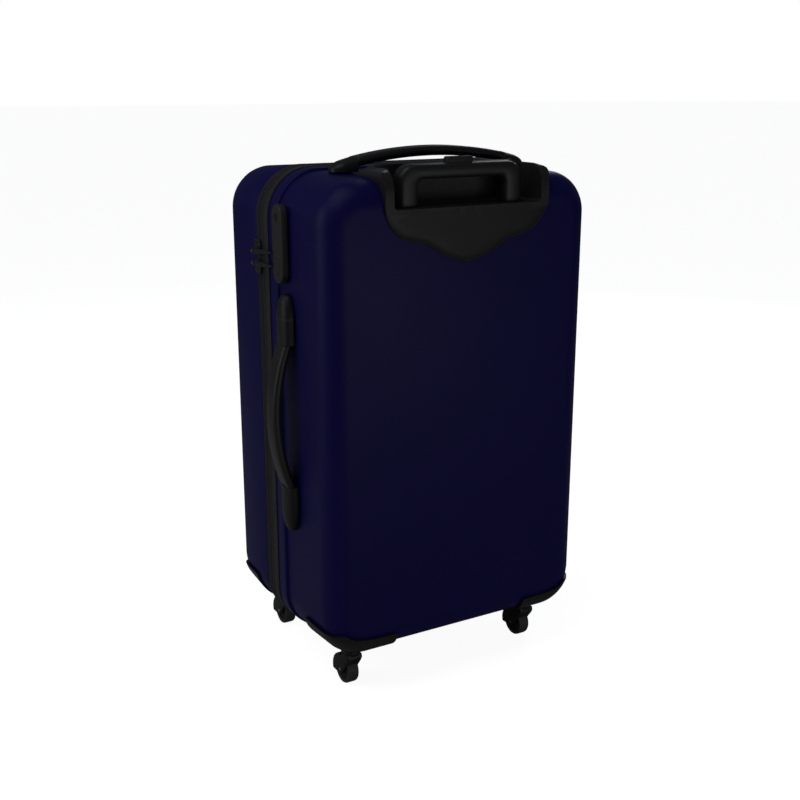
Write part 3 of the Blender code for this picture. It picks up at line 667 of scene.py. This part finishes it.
def slab(shape, across, low, high, bevel=0.0, segments=2):
    """A flat plate: an outline run from low to high across it, with its two rims rounded."""
    place = {
        "X": lambda a, b, t: (t, a, b),
        "Y": lambda a, b, t: (a, t, b),
        "Z": lambda a, b, t: (a, b, t),
    }[across]
    mesh = moulding([[place(a, b, t) for a, b in shape] for t in (low, high)])
    if not bevel:
        return mesh
    bm = bmesh.new()
    bm.from_mesh(mesh)
    rims = [edge for edge in bm.edges if any(len(face.verts) > 4 for face in edge.link_faces)]
    bmesh.ops.bevel(bm, geom=rims, offset=bevel, segments=segments, profile=0.5, affect="EDGES")
    return closed(bm)


def turning(profile, axis, centre, steps=40, hoop=False):
    """A turned part: (radius, place along the axis) from end to end, or a closed profile for a ring."""
    place = {
        "X": lambda c, s, t: (centre[0] + t, centre[1] + c, centre[2] + s),
        "Z": lambda c, s, t: (centre[0] + c, centre[1] + s, centre[2] + t),
    }[axis]
    turns = [math.tau * i / steps for i in range(steps)]
    if hoop:
        rings = [[place(r * math.cos(a), r * math.sin(a), t) for r, t in profile] for a in turns]
        return moulding(rings, hoop=True)
    return moulding([[place(r * math.cos(a), r * math.sin(a), t) for a in turns] for r, t in profile])


def enamelled_metal(name, colour, bare):
    """Black enamel over zinc, thin enough to show metal on knocked edges."""
    look, tree, shader = new_finish(name)
    shader.inputs["Specular IOR Level"].default_value = 0.45
    place = tree.nodes.new("ShaderNodeTexCoord").outputs["Object"]
    edges = placed(tree, EDGE_WEAR, Amount=0.7)
    hands = placed(tree, HANDLING, Amount=0.6, Spread=40.0)
    tree.links.new(mixed(tree, edges.outputs["Wear"], colour, bare), shader.inputs["Base Color"])
    tree.links.new(edges.outputs["Wear"], shader.inputs["Metallic"])
    rough = maths(tree, "ADD", maths(tree, "MULTIPLY", hands.outputs["Smudge"], 0.2), 0.30)
    tree.links.new(rough, shader.inputs["Roughness"])
    relief(tree, shader, noise(tree, place, 900.0, 3.0), 0.25, 0.05)
    return look


zip_look = enamelled_metal("enamelled zip metal", (0.0100, 0.0100, 0.0104), (0.16, 0.16, 0.165))


def slider_mesh(z, way):
    shape = [(-7.0, -8.0), (7.0, -8.0), (8.5, 1.0), (3.5, 8.0), (-3.5, 8.0), (-8.5, 1.0)]
    middle = z - way * BODY_OFFSET
    plate = slab([(SPLIT_Y + y, middle + way * h) for y, h in shape],
                 "X", COIL_SKIN - 3.0, COIL_SKIN - 0.4, 0.7, 3)
    arch = turning([(1.5, -2.0), (2.2, -2.2), (3.4, -1.6), (3.4, 1.6), (2.2, 2.2), (1.5, 2.0)], "Z",
                   (BRIDGE_X, BRIDGE_Y, z), 24, hoop=True)
    leg = block((BRIDGE_X + 2.6, BRIDGE_Y - 2.2, z - 2.0), (COIL_SKIN - 2.0, BRIDGE_Y + 2.2, z + 2.0), 0.5, 2)
    return weld(plate, arch, leg)


def puller_mesh(z, rise):
    """Open at its root, where two cheeks and a pin sit either side of the slider's bridge."""
    y = BRIDGE_Y
    edge = [(y + 4.2, 2.9, 0.0), (y + 3.2, 3.4, 0.0), (y + 1.5, 3.6, 0.0), (y - 4.0, 3.5, 0.0),
            (y - 14.0, 3.0, 0.25), (PULLER_TIP + 12.0, 2.1, 0.9), (PULLER_TIP + 3.0, 1.1, 0.98),
            (PULLER_TIP, 0.4, 1.0)]
    shape = [(a, z + rise * up + b) for a, b, up in edge]
    shape += [(a, z + rise * up - b) for a, b, up in reversed(edge)]
    blade = slab(shape, "X", BRIDGE_X - 1.1, BRIDGE_X + 1.1, 0.35, 2)
    clear = block((BRIDGE_X - 9.0, y - 4.0, z - 2.3), (BRIDGE_X + 9.0, y + 9.0, z + 2.3))
    pin = turning([(1.1, -3.3), (1.1, 3.3)], "Z", (BRIDGE_X, y, z), 16)
    return weld(carve(blade, clear), pin)


for word, z in SLIDER_Z.items():
    way = -1.0 if word == "upper" else 1.0
    for name, mesh in (("slider", slider_mesh(z, way)), ("puller", puller_mesh(z, PULLER_RISE[word]))):
        tag = f"{name}_{word}"
        fit_piece(tag, mesh, zip_look, tag, [f"zip_{tag}"])

# ------------------------------------------------------------------ hinge tapes
# On the far side from the lock the two halves stay joined by a wide doubled tape, one leaf sewn to each.
HINGE_X = 201.6
hinge_look = woven_tape("hinge tape", TAPE_BLACK, TAPE_LIGHT, 700.0)
leaves = {"rear": (SPLIT_Y - 13.0, SPLIT_Y - 0.15), "front": (SPLIT_Y + 0.15, SPLIT_Y + 13.0)}
for half, (low, high) in leaves.items():
    leaf = block((HALF_WIDTH + RIM_RISE + 1.6, low, 110.0), (HINGE_X - 0.1, high, 490.0), 0.15, 2)
    fit_piece(f"hinge_{half}", leaf, hinge_look, f"{half}_case", [f"{half}_hinge_tape"])

# ------------------------------------------------------------------ lock
# A pill-shaped moulded housing beside the sliders, with a flush release button below and a small keyed
# barrel above. It is screwed on from inside the shell.
LOCK_Y = (93.0, 122.0)
LOCK_Z = (472.0, 568.0)
LOCK_BASE = -(HALF_WIDTH + draft_at(LOCK_Y[1])) - 0.3
LOCK_FACE = LOCK_BASE - 9.0
lock_middle = sum(LOCK_Y) / 2


def pill(y_low, y_high, z_low, z_high, steps=18):
    radius = (y_high - y_low) / 2
    points = []
    for centre, start in ((z_high - radius, 0), (z_low + radius, 180)):
        for i in range(steps + 1):
            a = math.radians(start + 180.0 * i / steps)
            points.append(((y_high + y_low) / 2 + radius * math.cos(a), centre + radius * math.sin(a)))
    return points


BLACK = (0.0120, 0.0119, 0.0122)
WORN_BLACK = (0.060, 0.060, 0.062)
# Painted light: the lock's black is set paler than the trim's black, standing in for light that its
# side-facing housing does not get.
LOCK_BLACK_PAINTED_LIGHT = (0.0270, 0.0268, 0.0272)
lock_look_painted_light = moulded_plastic("lock plastic with painted light", LOCK_BLACK_PAINTED_LIGHT, WORN_BLACK, 0.46, 1700.0, 0.03, 0.4, 0.25, 0.22)
button_low = LOCK_Z[0] + 12.0
key_z = LOCK_Z[1] - 16.0
lock_shape = slab(pill(*LOCK_Y, *LOCK_Z), "X", LOCK_FACE, LOCK_BASE, 1.8, 4)
well = block((LOCK_FACE - 5.0, lock_middle - 5.4, button_low - 0.4),
             (LOCK_FACE + 5.0, lock_middle + 5.4, button_low + 18.4))
bore = turning([(5.4, -5.0), (5.4, 7.0)], "X", (LOCK_FACE, lock_middle, key_z), 32)
lock_mesh = carve(lock_shape, well, bore)
fit_piece("lock_housing", lock_mesh, lock_look_painted_light, "rear_case", ["lock_body"], 0.2)
button = block((LOCK_FACE - 0.5, lock_middle - 5.0, button_low),
               (LOCK_FACE + 2.8, lock_middle + 5.0, button_low + 18.0), 0.9)
fit_piece("lock_button", button, lock_look_painted_light, "lock_button", ["lock_release_button"])
barrel = turning([(4.4, 0.0), (5.0, 0.6), (5.0, 6.4)], "X", (LOCK_FACE + 0.2, lock_middle, key_z), 32)
keyway = block((LOCK_FACE - 1.0, lock_middle - 0.7, key_z - 3.0),
               (LOCK_FACE + 2.6, lock_middle + 0.7, key_z + 3.0))
fit_piece("lock_barrel", carve(barrel, keyway), zip_look, "lock_barrel", ["lock_key_barrel"])

# ------------------------------------------------------------------ pull handle housing
# One moulding that hooks over the top of the rear shell: a domed flange with a pointed lower edge, a
# raised saddle over the top, and a pocket that the grip drops into. The tubes pass through its floor.
FLANGE_PROUD = 4.6
TUBE_X = 75.0
TUBE_Y = 24.0
TURN = math.pi / 2 * EDGE
TOP_RUN = HEIGHT - EDGE + TURN


def on_shell(x, run, proud):
    """A point on the shell given by the way up the rear face, over the edge and along the top."""
    if run <= HEIGHT - EDGE:
        return (x, -proud, run)
    if run <= TOP_RUN:
        a = (run - (HEIGHT - EDGE)) / EDGE
        return (x, EDGE - (EDGE + proud) * math.cos(a), HEIGHT - EDGE + (EDGE + proud) * math.sin(a))
    y = EDGE + run - TOP_RUN
    return (x, y, HEIGHT + draft_at(y) + proud)


def flange_edge():
    """The flange's outline, half of it listed and the rest mirrored, as (across, way up)."""
    half = [(0.0, 498.5), (14.0, 501.0), (31.0, 507.0), (46.0, 515.5), (60.0, 523.0), (82.0, 528.5),
            (93.0, 532.0), (102.0, 538.5), (109.0, 546.5), (114.0, 556.0), (116.3, 565.0), (116.8, 573.0),
            (116.5, 584.0), (116.5, 610.0), (115.0, 638.0), (106.0, 641.0), (90.0, 642.0), (50.0, 642.0),
            (0.0, 642.0)]
    return half + [(-x, run) for x, run in reversed(half[1:-1])]


def flange_pad():
    """The flange as a thin domed pad laid over the shell, thickest a little in from its edge."""
    heart = (0.0, 588.0)
    rows = [(1.0, 0.3), (1.0, 2.0), (0.985, 3.0), (0.955, 3.9), (0.91, 4.4), (0.85, FLANGE_PROUD)]
    inner = (0.75, 0.65, 0.55, 0.45, 0.36, 0.27, 0.18, 0.09)
    rows += [(share, FLANGE_PROUD) for share in inner]
    under = [(share, 0.3) for share, _ in reversed(rows[1:])]
    edge = []
    points = flange_edge()
    for (x, run), (x2, run2) in zip(points, points[1:] + points[:1]):
        steps = max(1, round(math.hypot(x2 - x, run2 - run) / 7.0))
        edge += [(x + (x2 - x) * i / steps, run + (run2 - run) * i / steps) for i in range(steps)]
    rings = []
    for share, proud in rows + under[:-1]:
        rings.append([on_shell(heart[0] + (x - heart[0]) * share, heart[1] + (run - heart[1]) * share, proud)
                      for x, run in edge])
    top = rings[:len(rows)]
    bottom = [rings[0]] + list(reversed(rings[len(rows):]))
    bm = bmesh.new()
    rim = [bm.verts.new(p) for p in rings[0]]
    for skin, proud in ((top[1:], FLANGE_PROUD), (bottom[1:], 0.3)):
        last = rim
        for ring in skin:
            row = [bm.verts.new(p) for p in ring]
            for i in range(len(row)):
                j = (i + 1) % len(row)
                bm.faces.new((last[i], last[j], row[j], row[i]))
            last = row
        middle = bm.verts.new(on_shell(*heart, proud))
        for i in range(len(last)):
            bm.faces.new((last[i], last[(i + 1) % len(last)], middle))
    return closed(bm)


def shell_block(offset, last=STEP_Y - 2.0):
    rings = rounded_edge(0.0, 1.0, 0.0, offset)
    rings.append(outline(last, draft_at(last) + offset))
    return moulding(rings)


def pocket_walls():
    low = (-POCKET_X - POCKET_WALL, -FLANGE_PROUD, LEDGE_Z - 6.0)
    high = (POCKET_X + POCKET_WALL, POCKET_Y + POCKET_WALL, HEIGHT + FLANGE_PROUD)
    return combined(block(low, high), shell_block(FLANGE_PROUD - 0.05), "INTERSECT")


def collar():
    """The raised saddle over the top edge: sloping shoulders across, rounded from the rear face up."""
    across = [(114.9, 560.0), (116.3, 565.0), (116.8, 573.0), (116.5, 584.0), (117.2, 592.0), (118.5, 598.0),
              (119.0, 604.0), (118.2, 606.6), (115.5, 608.5), (100.0, 613.6), (96.0, 614.5)]
    across += [(-x, z) for x, z in reversed(across)]
    along = [(-FLANGE_PROUD, 560.0), (-FLANGE_PROUD, 585.0), (-4.1, 590.0), (-2.8, 595.0), (-0.6, 600.0),
             (2.8, 604.8), (7.0, 608.5), (11.5, 611.3), (16.0, 613.0), (21.0, 614.2), (26.0, 614.6),
             (53.0, 614.8), (56.0, 614.2), (58.0, 612.0), (58.0, 560.0)]
    return combined(slab(across, "Y", -10.0, 60.0), slab(along, "X", -140.0, 140.0), "INTERSECT")


def rounded_plan(x, y, wide, deep, radius, steps=6):
    points = []
    for sx, sy, start in ((1, 1, 0), (-1, 1, 90), (-1, -1, 180), (1, -1, 270)):
        for i in range(steps + 1):
            a = math.radians(start + 90.0 * i / steps)
            points.append((x + sx * (wide / 2 - radius) + radius * math.cos(a),
                           y + sy * (deep / 2 - radius) + radius * math.sin(a)))
    return points


def tube_bar(x, wide, deep, low, high):
    return slab(rounded_plan(x, TUBE_Y, wide, deep, min(wide, deep) * 0.42), "Z", low, high)


housing = weld(flange_pad(), carve(collar(), shell_block(0.3)), pocket_walls())
housing = carve(housing, block((-POCKET_X, -30.0, LEDGE_Z), (POCKET_X, POCKET_Y, HEIGHT + 40.0), 5.0, 4))
for side in (-1, 1):
    housing = carve(housing, tube_bar(side * TUBE_X, 19.6, 12.6, LEDGE_Z - 20.0, LEDGE_Z + 5.0))
trim_look = moulded_plastic("black trim", BLACK, WORN_BLACK, 0.40, 1300.0, 0.035, 0.45, 0.30, 0.22)
fit_piece("handle_housing", housing, trim_look, "rear_case", ["pull_handle_housing"], 0.5, 38.0)

# ------------------------------------------------------------------ telescopic tubes
# Drawn and anodised aluminium: outer tubes fixed in the case, middle ones sliding in them, and inner
# ones that carry the grip. A glass-filled block holds the feet, and a tray keeps clothes off the tubes.


def drawn_metal(name, stretch, scale, dark, pale, rough, depth):
    """Bare metal with the fine lines of a drawing die or a lathe tool."""
    look, tree, shader = new_finish(name)
    shader.inputs["Metallic"].default_value = 1.0
    place = tree.nodes.new("ShaderNodeTexCoord").outputs["Object"]
    if stretch:
        drawn = tree.nodes.new("ShaderNodeMapping")
        drawn.inputs["Scale"].default_value = stretch
        tree.links.new(place, drawn.inputs["Vector"])
        place = drawn.outputs["Vector"]
    lines = noise(tree, place, scale, 2.0)
    tree.links.new(mixed(tree, lines, dark, pale), shader.inputs["Base Color"])
    polish = maths(tree, "ADD", maths(tree, "MULTIPLY", lines, rough[0]), rough[1])
    tree.links.new(polish, shader.inputs["Roughness"])
    relief(tree, shader, lines, 0.2, depth)
    return look


alloy_look = drawn_metal("anodised tube", (1800.0, 1800.0, 6.0), 1.0,
                         (0.36, 0.365, 0.375), (0.52, 0.525, 0.54), (0.18, 0.24), 0.02)
stages = {
    "outer": ("rear_case", 23.0, 16.0, 34.5, LEDGE_Z - 6.5),
    "middle": ("middle_stage", 19.0, 12.0, 40.0, LEDGE_Z - 1.0),
    "inner": ("grip_stage", 15.6, 8.6, 46.0, LEDGE_Z - 0.4),
}
for stage, (body, wide, deep, low, high) in stages.items():
    for side, word in ((-1, "left"), (1, "right")):
        wall = tube_bar(side * TUBE_X, wide, deep, low, high)
        hollow = tube_bar(side * TUBE_X, wide - 2.4, deep - 2.4, low - 5.0, high + 5.0)
        fit_piece(f"{stage}_tube_{word}_drawn", carve(wall, hollow), alloy_look, body,
                  [f"{stage}_tube_{word}"], 0.15)
inside_look = moulded_plastic("inside plastic", BLACK, WORN_BLACK, 0.55, 700.0, 0.05, 0.3, 0.2, 0.35)
foot = block((-96.0, TUBE_Y - 12.0, 15.0), (96.0, TUBE_Y + 14.0, 34.0), 3.0)
fit_piece("tube_foot", foot, inside_look, "rear_case", ["tube_base_bracket"])
tray = carve(
    block((-112.0, 12.5, 60.0), (112.0, POCKET_Y - 6.0, LEDGE_Z - 14.0), 6.0, 4),
    block((-109.5, 0.0, 50.0), (109.5, POCKET_Y - 8.5, LEDGE_Z), 4.0, 4),
)
for i in range(9):
    z = 90.0 + i * 54.0
    tray = weld(tray, block((-96.0, POCKET_Y - 6.6, z), (96.0, POCKET_Y - 5.2, z + 5.0), 0.5, 2))
fit_piece("tube_tray", tray, inside_look, "rear_case", ["tube_cover"], 0.3)

# ------------------------------------------------------------------ pull handle grip and button
# A loop moulded round the ends of the inner tubes: two broad legs and a cross bar with softly rounded
# edges. The push button in the middle of the bar frees the locking pins.
GRIP_TOP = 616.0
GRIP_DEEP = 26.0


def grip_arc(half, low, high, radius, steps):
    """From the foot of one leg, up, over the corner and on to the other leg's foot."""
    points = [(half, low + (high - radius - low) * i / 4) for i in range(4)]
    for sx, start in ((1, 0.0), (-1, 90.0)):
        for i in range(steps + 1):
            a = math.radians(start + 90.0 * i / steps)
            points.append((sx * (half - radius) + radius * math.cos(a), high - radius + radius * math.sin(a)))
        if sx == 1:
            points += [((half - radius) * (1 - i / 4.0), high) for i in range(1, 8)]
    points += [(-half, high - radius + (low - high + radius) * i / 4) for i in range(1, 5)]
    return points


def soft_section(outer, inner, deep, count=28):
    """A rounded-square section spanning from the outer to the inner edge of the loop."""
    centre = ((outer[0] + inner[0]) / 2, (outer[1] + inner[1]) / 2)
    reach = ((outer[0] - inner[0]) / 2, (outer[1] - inner[1]) / 2)
    ring = []
    for i in range(count):
        a = math.tau * i / count
        across = math.copysign(abs(math.cos(a)) ** 0.55, math.cos(a))
        through = math.copysign(abs(math.sin(a)) ** 0.55, math.sin(a))
        ring.append((centre[0] + reach[0] * across, TUBE_Y + deep / 2 * through,
                     centre[1] + reach[1] * across))
    return ring


outer_edge = grip_arc(88.0, LEDGE_Z + 0.6, GRIP_TOP, 21.0, 10)
inner_edge = grip_arc(61.0, LEDGE_Z + 0.6, 597.5, 7.0, 10)
grip = moulding([soft_section(a, b, GRIP_DEEP) for a, b in zip(outer_edge, inner_edge)])
seat = block((-19.0, TUBE_Y - 6.6, GRIP_TOP - 10.8), (19.0, TUBE_Y + 6.6, GRIP_TOP + 8.0), 1.0, 2)
grip = carve(grip, seat)
GRIP_BLACK = (0.0155, 0.0155, 0.0158)
grip_look = moulded_plastic("grip plastic", GRIP_BLACK, WORN_BLACK, 0.36, 1800.0, 0.02, 0.6, 0.15, 0.28)
fit_piece("pull_grip", grip, grip_look, "grip_stage", ["pull_handle_grip"], 0.4, 40.0)
press = block((-18.5, TUBE_Y - 6.1, GRIP_TOP - 6.4), (18.5, TUBE_Y + 6.1, GRIP_TOP + 7.0), 2.6, 4)
for i in range(5):
    x = -10.0 + i * 5.0
    groove = block((x - 0.7, TUBE_Y - 4.2, GRIP_TOP + 6.4), (x + 0.7, TUBE_Y + 4.2, GRIP_TOP + 9.0))
    press = carve(press, groove)
fit_piece("pull_press", press, inside_look, "pull_button", ["pull_handle_button"], 0.2)

# ------------------------------------------------------------------ carry handles
# A bowed moulded grip on the side and another on the top. Each end is a flat tongue held in a domed end
# piece, so that the grip can rise a few millimetres when it is lifted.
SIDE_Y = 100.0
SIDE_LOW, SIDE_HIGH, SIDE_CAP = 151.5, 460.0, 62.0
TOP_Y = 92.0
TOP_X, TOP_CAP = 140.0, 32.0


def bowed_grip(half, rise, place, wide, thick, steps=44):
    """A grip in one even arc, low at both ends."""
    rings = []
    for i in range(steps + 1):
        t = -1.0 + 2.0 * i / steps
        lift = 1.0 - t * t
        deep = thick[0] + (thick[1] - thick[0]) * lift
        broad = wide[0] + (wide[1] - wide[0]) * lift
        height = rise[0] + (rise[1] - rise[0]) * lift
        plan = rounded_plan(0.0, 0.0, broad, deep, deep * 0.46, 5)
        rings.append([place(half * t, across, height + up) for across, up in plan])
    return moulding(rings)


def domed_end(length, wide, high, fall, place):
    """Flat where the grip leaves it, sloping down, and rounded at its far end."""
    rings = []
    for i in range(15):
        if i < 3:
            along, shrink = length * 0.5 * i / 2.0, 1.0
        else:
            turn = math.pi / 2 * (i - 2) / 12
            along = length * (0.5 + 0.5 * math.sin(turn))
            shrink = 0.12 + 0.88 * math.cos(turn)
        half = wide / 2 * shrink
        top = (high - fall * along / length) * (0.30 + 0.70 * shrink)
        ring = []
        for k in range(21):
            a = math.pi * k / 20
            ring.append(place(along, half * math.cos(a), 0.4 + (top - 0.4) * math.sin(a) ** 0.62))
        rings.append(ring)
    return moulding(rings)


def carry_handle(name, body, grip_node, joints, place_on, caps, sizes):
    """One carry handle: two end pieces with their slots, and the grip with its tongues."""
    cap_long, cap_wide, cap_high, fall = sizes["cap"]
    tongue, tongue_low, tongue_high, tongue_long = sizes["tongue"]
    slot_low, slot_high, slot_long = sizes["slot"]
    for word, joint, way in joints:
        shape = domed_end(cap_long, cap_wide, cap_high, fall, lambda a, b, c: place_on(joint + way * a, b, c))
        slot_box = [place_on(joint - way * 5.0, -tongue - 0.8, slot_low),
                    place_on(joint + way * slot_long, tongue + 0.8, slot_high)]
        low = [min(p) for p in zip(*slot_box)]
        high = [max(p) for p in zip(*slot_box)]
        fit_piece(f"{name}_end_{word}", carve(shape, block(low, high)), trim_look, "rear_case",
                  [caps[word]], 0.7, 38.0, 3)
    middle = sum(j for _, j, _ in joints) / 2
    half = abs(joints[0][1] - middle) - 0.3
    grip = bowed_grip(half, sizes["rise"], lambda a, b, c: place_on(middle + a, b, c),
                      sizes["wide"], sizes["thick"])
    for way in (-1.0, 1.0):
        ends = [place_on(middle + way * (half - 4.0), -tongue, tongue_low),
                place_on(middle + way * (half + tongue_long), tongue, tongue_high)]
        grip = weld(grip, block([min(p) for p in zip(*ends)], [max(p) for p in zip(*ends)]))
    fit_piece(f"{name}_grip", grip, grip_look, body, [grip_node], 0.5, 50.0)


side_base = -(HALF_WIDTH + draft_at(SIDE_Y + 17.0)) - 0.2
carry_handle(
    "side_handle_soft", "side_grip", "side_handle_grip",
    [("lower", SIDE_LOW + SIDE_CAP, -1.0), ("upper", SIDE_HIGH - SIDE_CAP, 1.0)],
    lambda a, b, c: (side_base - c, SIDE_Y + b, a),
    {"lower": "side_handle_cap_lower", "upper": "side_handle_cap_upper"},
    {"cap": (SIDE_CAP, 34.0, 13.0, 0.0), "tongue": (10.5, 1.8, 5.4, 12.0), "slot": (0.9, 10.2, 16.0),
     "rise": (6.6, 23.0), "wide": (31.0, 27.0), "thick": (11.0, 12.0)},
)
top_base = HEIGHT + draft_at(TOP_Y + 16.0) + 0.2
carry_handle(
    "top_handle_soft", "top_grip", "top_handle_grip",
    [("left", TOP_CAP - TOP_X, -1.0), ("right", TOP_X - TOP_CAP, 1.0)],
    lambda a, b, c: (a, TOP_Y + b, top_base + c),
    {"left": "top_handle_cap_left", "right": "top_handle_cap_right"},
    {"cap": (TOP_CAP, 30.0, 18.6, 8.0), "tongue": (6.0, 4.4, 8.2, 8.0), "slot": (3.6, 12.6, 11.0),
     "rise": (11.8, 22.6), "wide": (28.0, 26.0), "thick": (12.0, 12.5)},
)

# ------------------------------------------------------------------ corner guards
# Thick moulded guards wrap the four lower corners, with an arm along each bottom edge and a round seat
# underneath for the caster's pin.
CASTER_X = 139.0
SWIVEL_Y = {"rear": 54.0, "front": 254.0}
GUARD_REACH = 79.0
GUARD_PROUD = 4.0
PIN_HOLE = 4.3
SEAT_Z = {"rear": -5.0, "front": -8.6}


def front_block(offset):
    last = FRONT_Y + 6.0
    rings = rounded_edge(CASE_DEPTH, -1.0, FRONT_SWELL, offset)
    rings.append(outline(last, front_swell(last) + offset))
    return moulding(rings)


def guard_edge():
    """The guard's outline seen from behind: low along the edge, rising over the corner."""
    return [(99.0, -30.0), (99.0, 17.0), (99.8, 21.5), (102.0, 23.6), (124.0, 24.2), (140.0, 25.0),
            (152.0, 26.3), (160.0, 28.0), (166.0, 30.8), (170.0, 34.2), (172.4, 35.8), (174.8, 35.4),
            (179.0, 33.6), (184.5, 32.6), (193.0, 35.0), (198.0, 39.0), (230.0, 40.0), (230.0, -30.0)]


def guard(end):
    base = shell_block if end == "rear" else front_block
    spans = (-20.0, GUARD_REACH) if end == "rear" else (CASE_DEPTH - GUARD_REACH, CASE_DEPTH + 20.0)
    seat_z = SEAT_Z[end]
    hub = (CASTER_X, SWIVEL_Y[end], 0.0)
    skin = combined(base(GUARD_PROUD), slab(guard_edge(), "Y", *spans), "INTERSECT")
    body = weld(skin, turning([(17.0, 2.5), (16.4, -8.0), (15.0, -10.6), (13.6, -12.6)], "Z", hub, 40))
    body = carve(body, base(0.3))
    pin_seat = [(PIN_HOLE, -40.0), (PIN_HOLE, seat_z), (7.4, seat_z + 0.1), (7.4, 20.0)]
    return carve(body, turning(pin_seat, "Z", hub, 32))


def mirrored(mesh):
    bm = bmesh.new()
    bm.from_mesh(mesh)
    bmesh.ops.transform(bm, matrix=Matrix.Scale(-1.0, 4, Vector((1.0, 0.0, 0.0))), verts=bm.verts)
    return closed(bm)


for end in ("rear", "front"):
    right = guard(end)
    left = mirrored(right)
    for word, mesh in (("left", left), ("right", right)):
        fit_piece(f"guard_{end}_{word}", mesh, trim_look, f"{end}_case", [f"corner_guard_{end}_{word}"],
                  1.2, 32.0, 3)

# ------------------------------------------------------------------ casters
# A hooded fork turns on a steel pin under each guard. It covers the top and far side of the wheel and is
# cut away low behind it; a cast tyre on a moulded hub runs on a steel axle.
TRAIL = 12.0
tyre_low, tyre_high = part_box("wheel_tyre_rear_left")
WHEEL_R = (tyre_high.z - tyre_low.z) / 2 / MM
WHEEL_WIDE = (tyre_high.x - tyre_low.x) / MM
WHEEL_Z = ((tyre_high.z + tyre_low.z) / 2 - case_z) / MM


def fork(x, y):
    wheel_y = y + TRAIL
    hood = WHEEL_R + 2.6
    wide = WHEEL_WIDE / 2 + 3.4
    shape = [(wheel_y - 1.0, WHEEL_Z - 7.6)]
    for i in range(25):
        a = math.radians(-20.0 + 112.0 * i / 24)
        shape.append((wheel_y + hood * math.cos(a), WHEEL_Z + hood * math.sin(a)))
    shape += [(y + 4.0, -17.6), (y - 10.5, -17.6), (y - 12.0, -23.0), (y - 9.5, WHEEL_Z + 18.8)]
    body = slab(shape, "X", x - wide, x + wide, 2.4, 4)
    neck = [(12.8, -13.1), (13.5, -14.2), (13.4, -16.0), (12.0, -20.0), (9.0, -22.4)]
    body = weld(body, turning(neck, "Z", (x, y, 0.0)))
    inner = WHEEL_WIDE / 2 + 0.9
    cavity = turning([(WHEEL_R + 1.0, -inner), (WHEEL_R + 1.0, inner)], "X", (x, wheel_y, WHEEL_Z), 48)
    mouth = block((x - inner, y - 40.0, -90.0), (x + inner, wheel_y, WHEEL_Z + 12.0))
    axle_hole = turning([(2.6, -30.0), (2.6, 30.0)], "X", (x, wheel_y, WHEEL_Z), 24)
    pin_hole = turning([(PIN_HOLE, -25.5), (PIN_HOLE, 0.0)], "Z", (x, y, 0.0), 24)
    return carve(body, cavity, mouth, axle_hole, pin_hole)


def tyre(centre):
    half, r = WHEEL_WIDE / 2, WHEEL_R
    profile = [(r - 4.5, -half + 1.0), (r - 2.6, -half + 0.3), (r - 1.2, -half), (r - 0.4, -half + 1.0),
               (r - 0.05, -half + 2.4), (r, -half + 4.0), (r, half - 4.0), (r - 0.05, half - 2.4),
               (r - 0.4, half - 1.0), (r - 1.2, half), (r - 2.6, half - 0.3), (r - 4.5, half - 1.0)]
    return turning(profile, "X", centre, 56, hoop=True)


def hub_mesh(centre):
    half, rim = WHEEL_WIDE / 2, WHEEL_R - 4.8
    profile = [(2.7, -half), (5.2, -half), (5.6, -half + 0.4), (6.5, -half + 2.4), (rim - 2.4, -half + 2.6),
               (rim - 1.6, -half + 1.4), (rim, -half + 1.2), (rim, half - 1.2), (rim - 1.6, half - 1.4),
               (rim - 2.4, half - 2.6), (6.5, half - 2.4), (5.6, half - 0.4), (5.2, half), (2.7, half)]
    return turning(profile, "X", centre, 40, hoop=True)


# Painted light: the tyre's black is set paler than a plain tyre's, standing in for light that the wheel,
# shaded under its fork and the case, does not get.
TYRE_BLACK_PAINTED_LIGHT = (0.0480, 0.0480, 0.0475)
WORN_TYRE = (0.060, 0.059, 0.057)
tyre_look_painted_light = moulded_plastic("cast tyre with painted light", TYRE_BLACK_PAINTED_LIGHT, WORN_TYRE, 0.55, 500.0, 0.05, 0.9, 0.4, 0.25)
steel_look = drawn_metal("turned steel", None, 1400.0,
                         (0.28, 0.28, 0.29), (0.46, 0.46, 0.47), (0.2, 0.25), 0.03)
for end, y in SWIVEL_Y.items():
    for side, word in ((-1, "left"), (1, "right")):
        tag = f"{end}_{word}"
        x = side * CASTER_X
        centre = (x, y + TRAIL, WHEEL_Z)
        seat_z = SEAT_Z[end] + 0.4
        reach = WHEEL_WIDE / 2 + 3.7
        caster, wheel = f"caster_{tag}", f"wheel_{tag}"
        fit_piece(f"fork_{tag}", fork(x, y), trim_look, caster, [f"caster_fork_{tag}"],
                  0.8, 36.0, 3)
        fit_piece(f"tyre_{tag}", tyre(centre), tyre_look_painted_light, wheel, [f"wheel_tyre_{tag}"])
        fit_piece(f"hub_{tag}", hub_mesh(centre), inside_look, wheel, [f"wheel_hub_{tag}"])
        axle = [(1.9, -reach), (2.4, -reach + 0.5), (2.4, reach - 0.5), (1.9, reach)]
        fit_piece(f"axle_{tag}", turning(axle, "X", centre, 24), steel_look, caster,
                  [f"wheel_axle_{tag}"])
        pin = [(7.0, seat_z + 2.2), (7.0, seat_z), (4.0, seat_z - 0.1), (4.0, -24.0)]
        fit_piece(f"pin_{tag}", turning(pin, "Z", (x, y, 0.0), 24), steel_look, f"{end}_case",
                  [f"swivel_pin_{tag}"], 0.2)
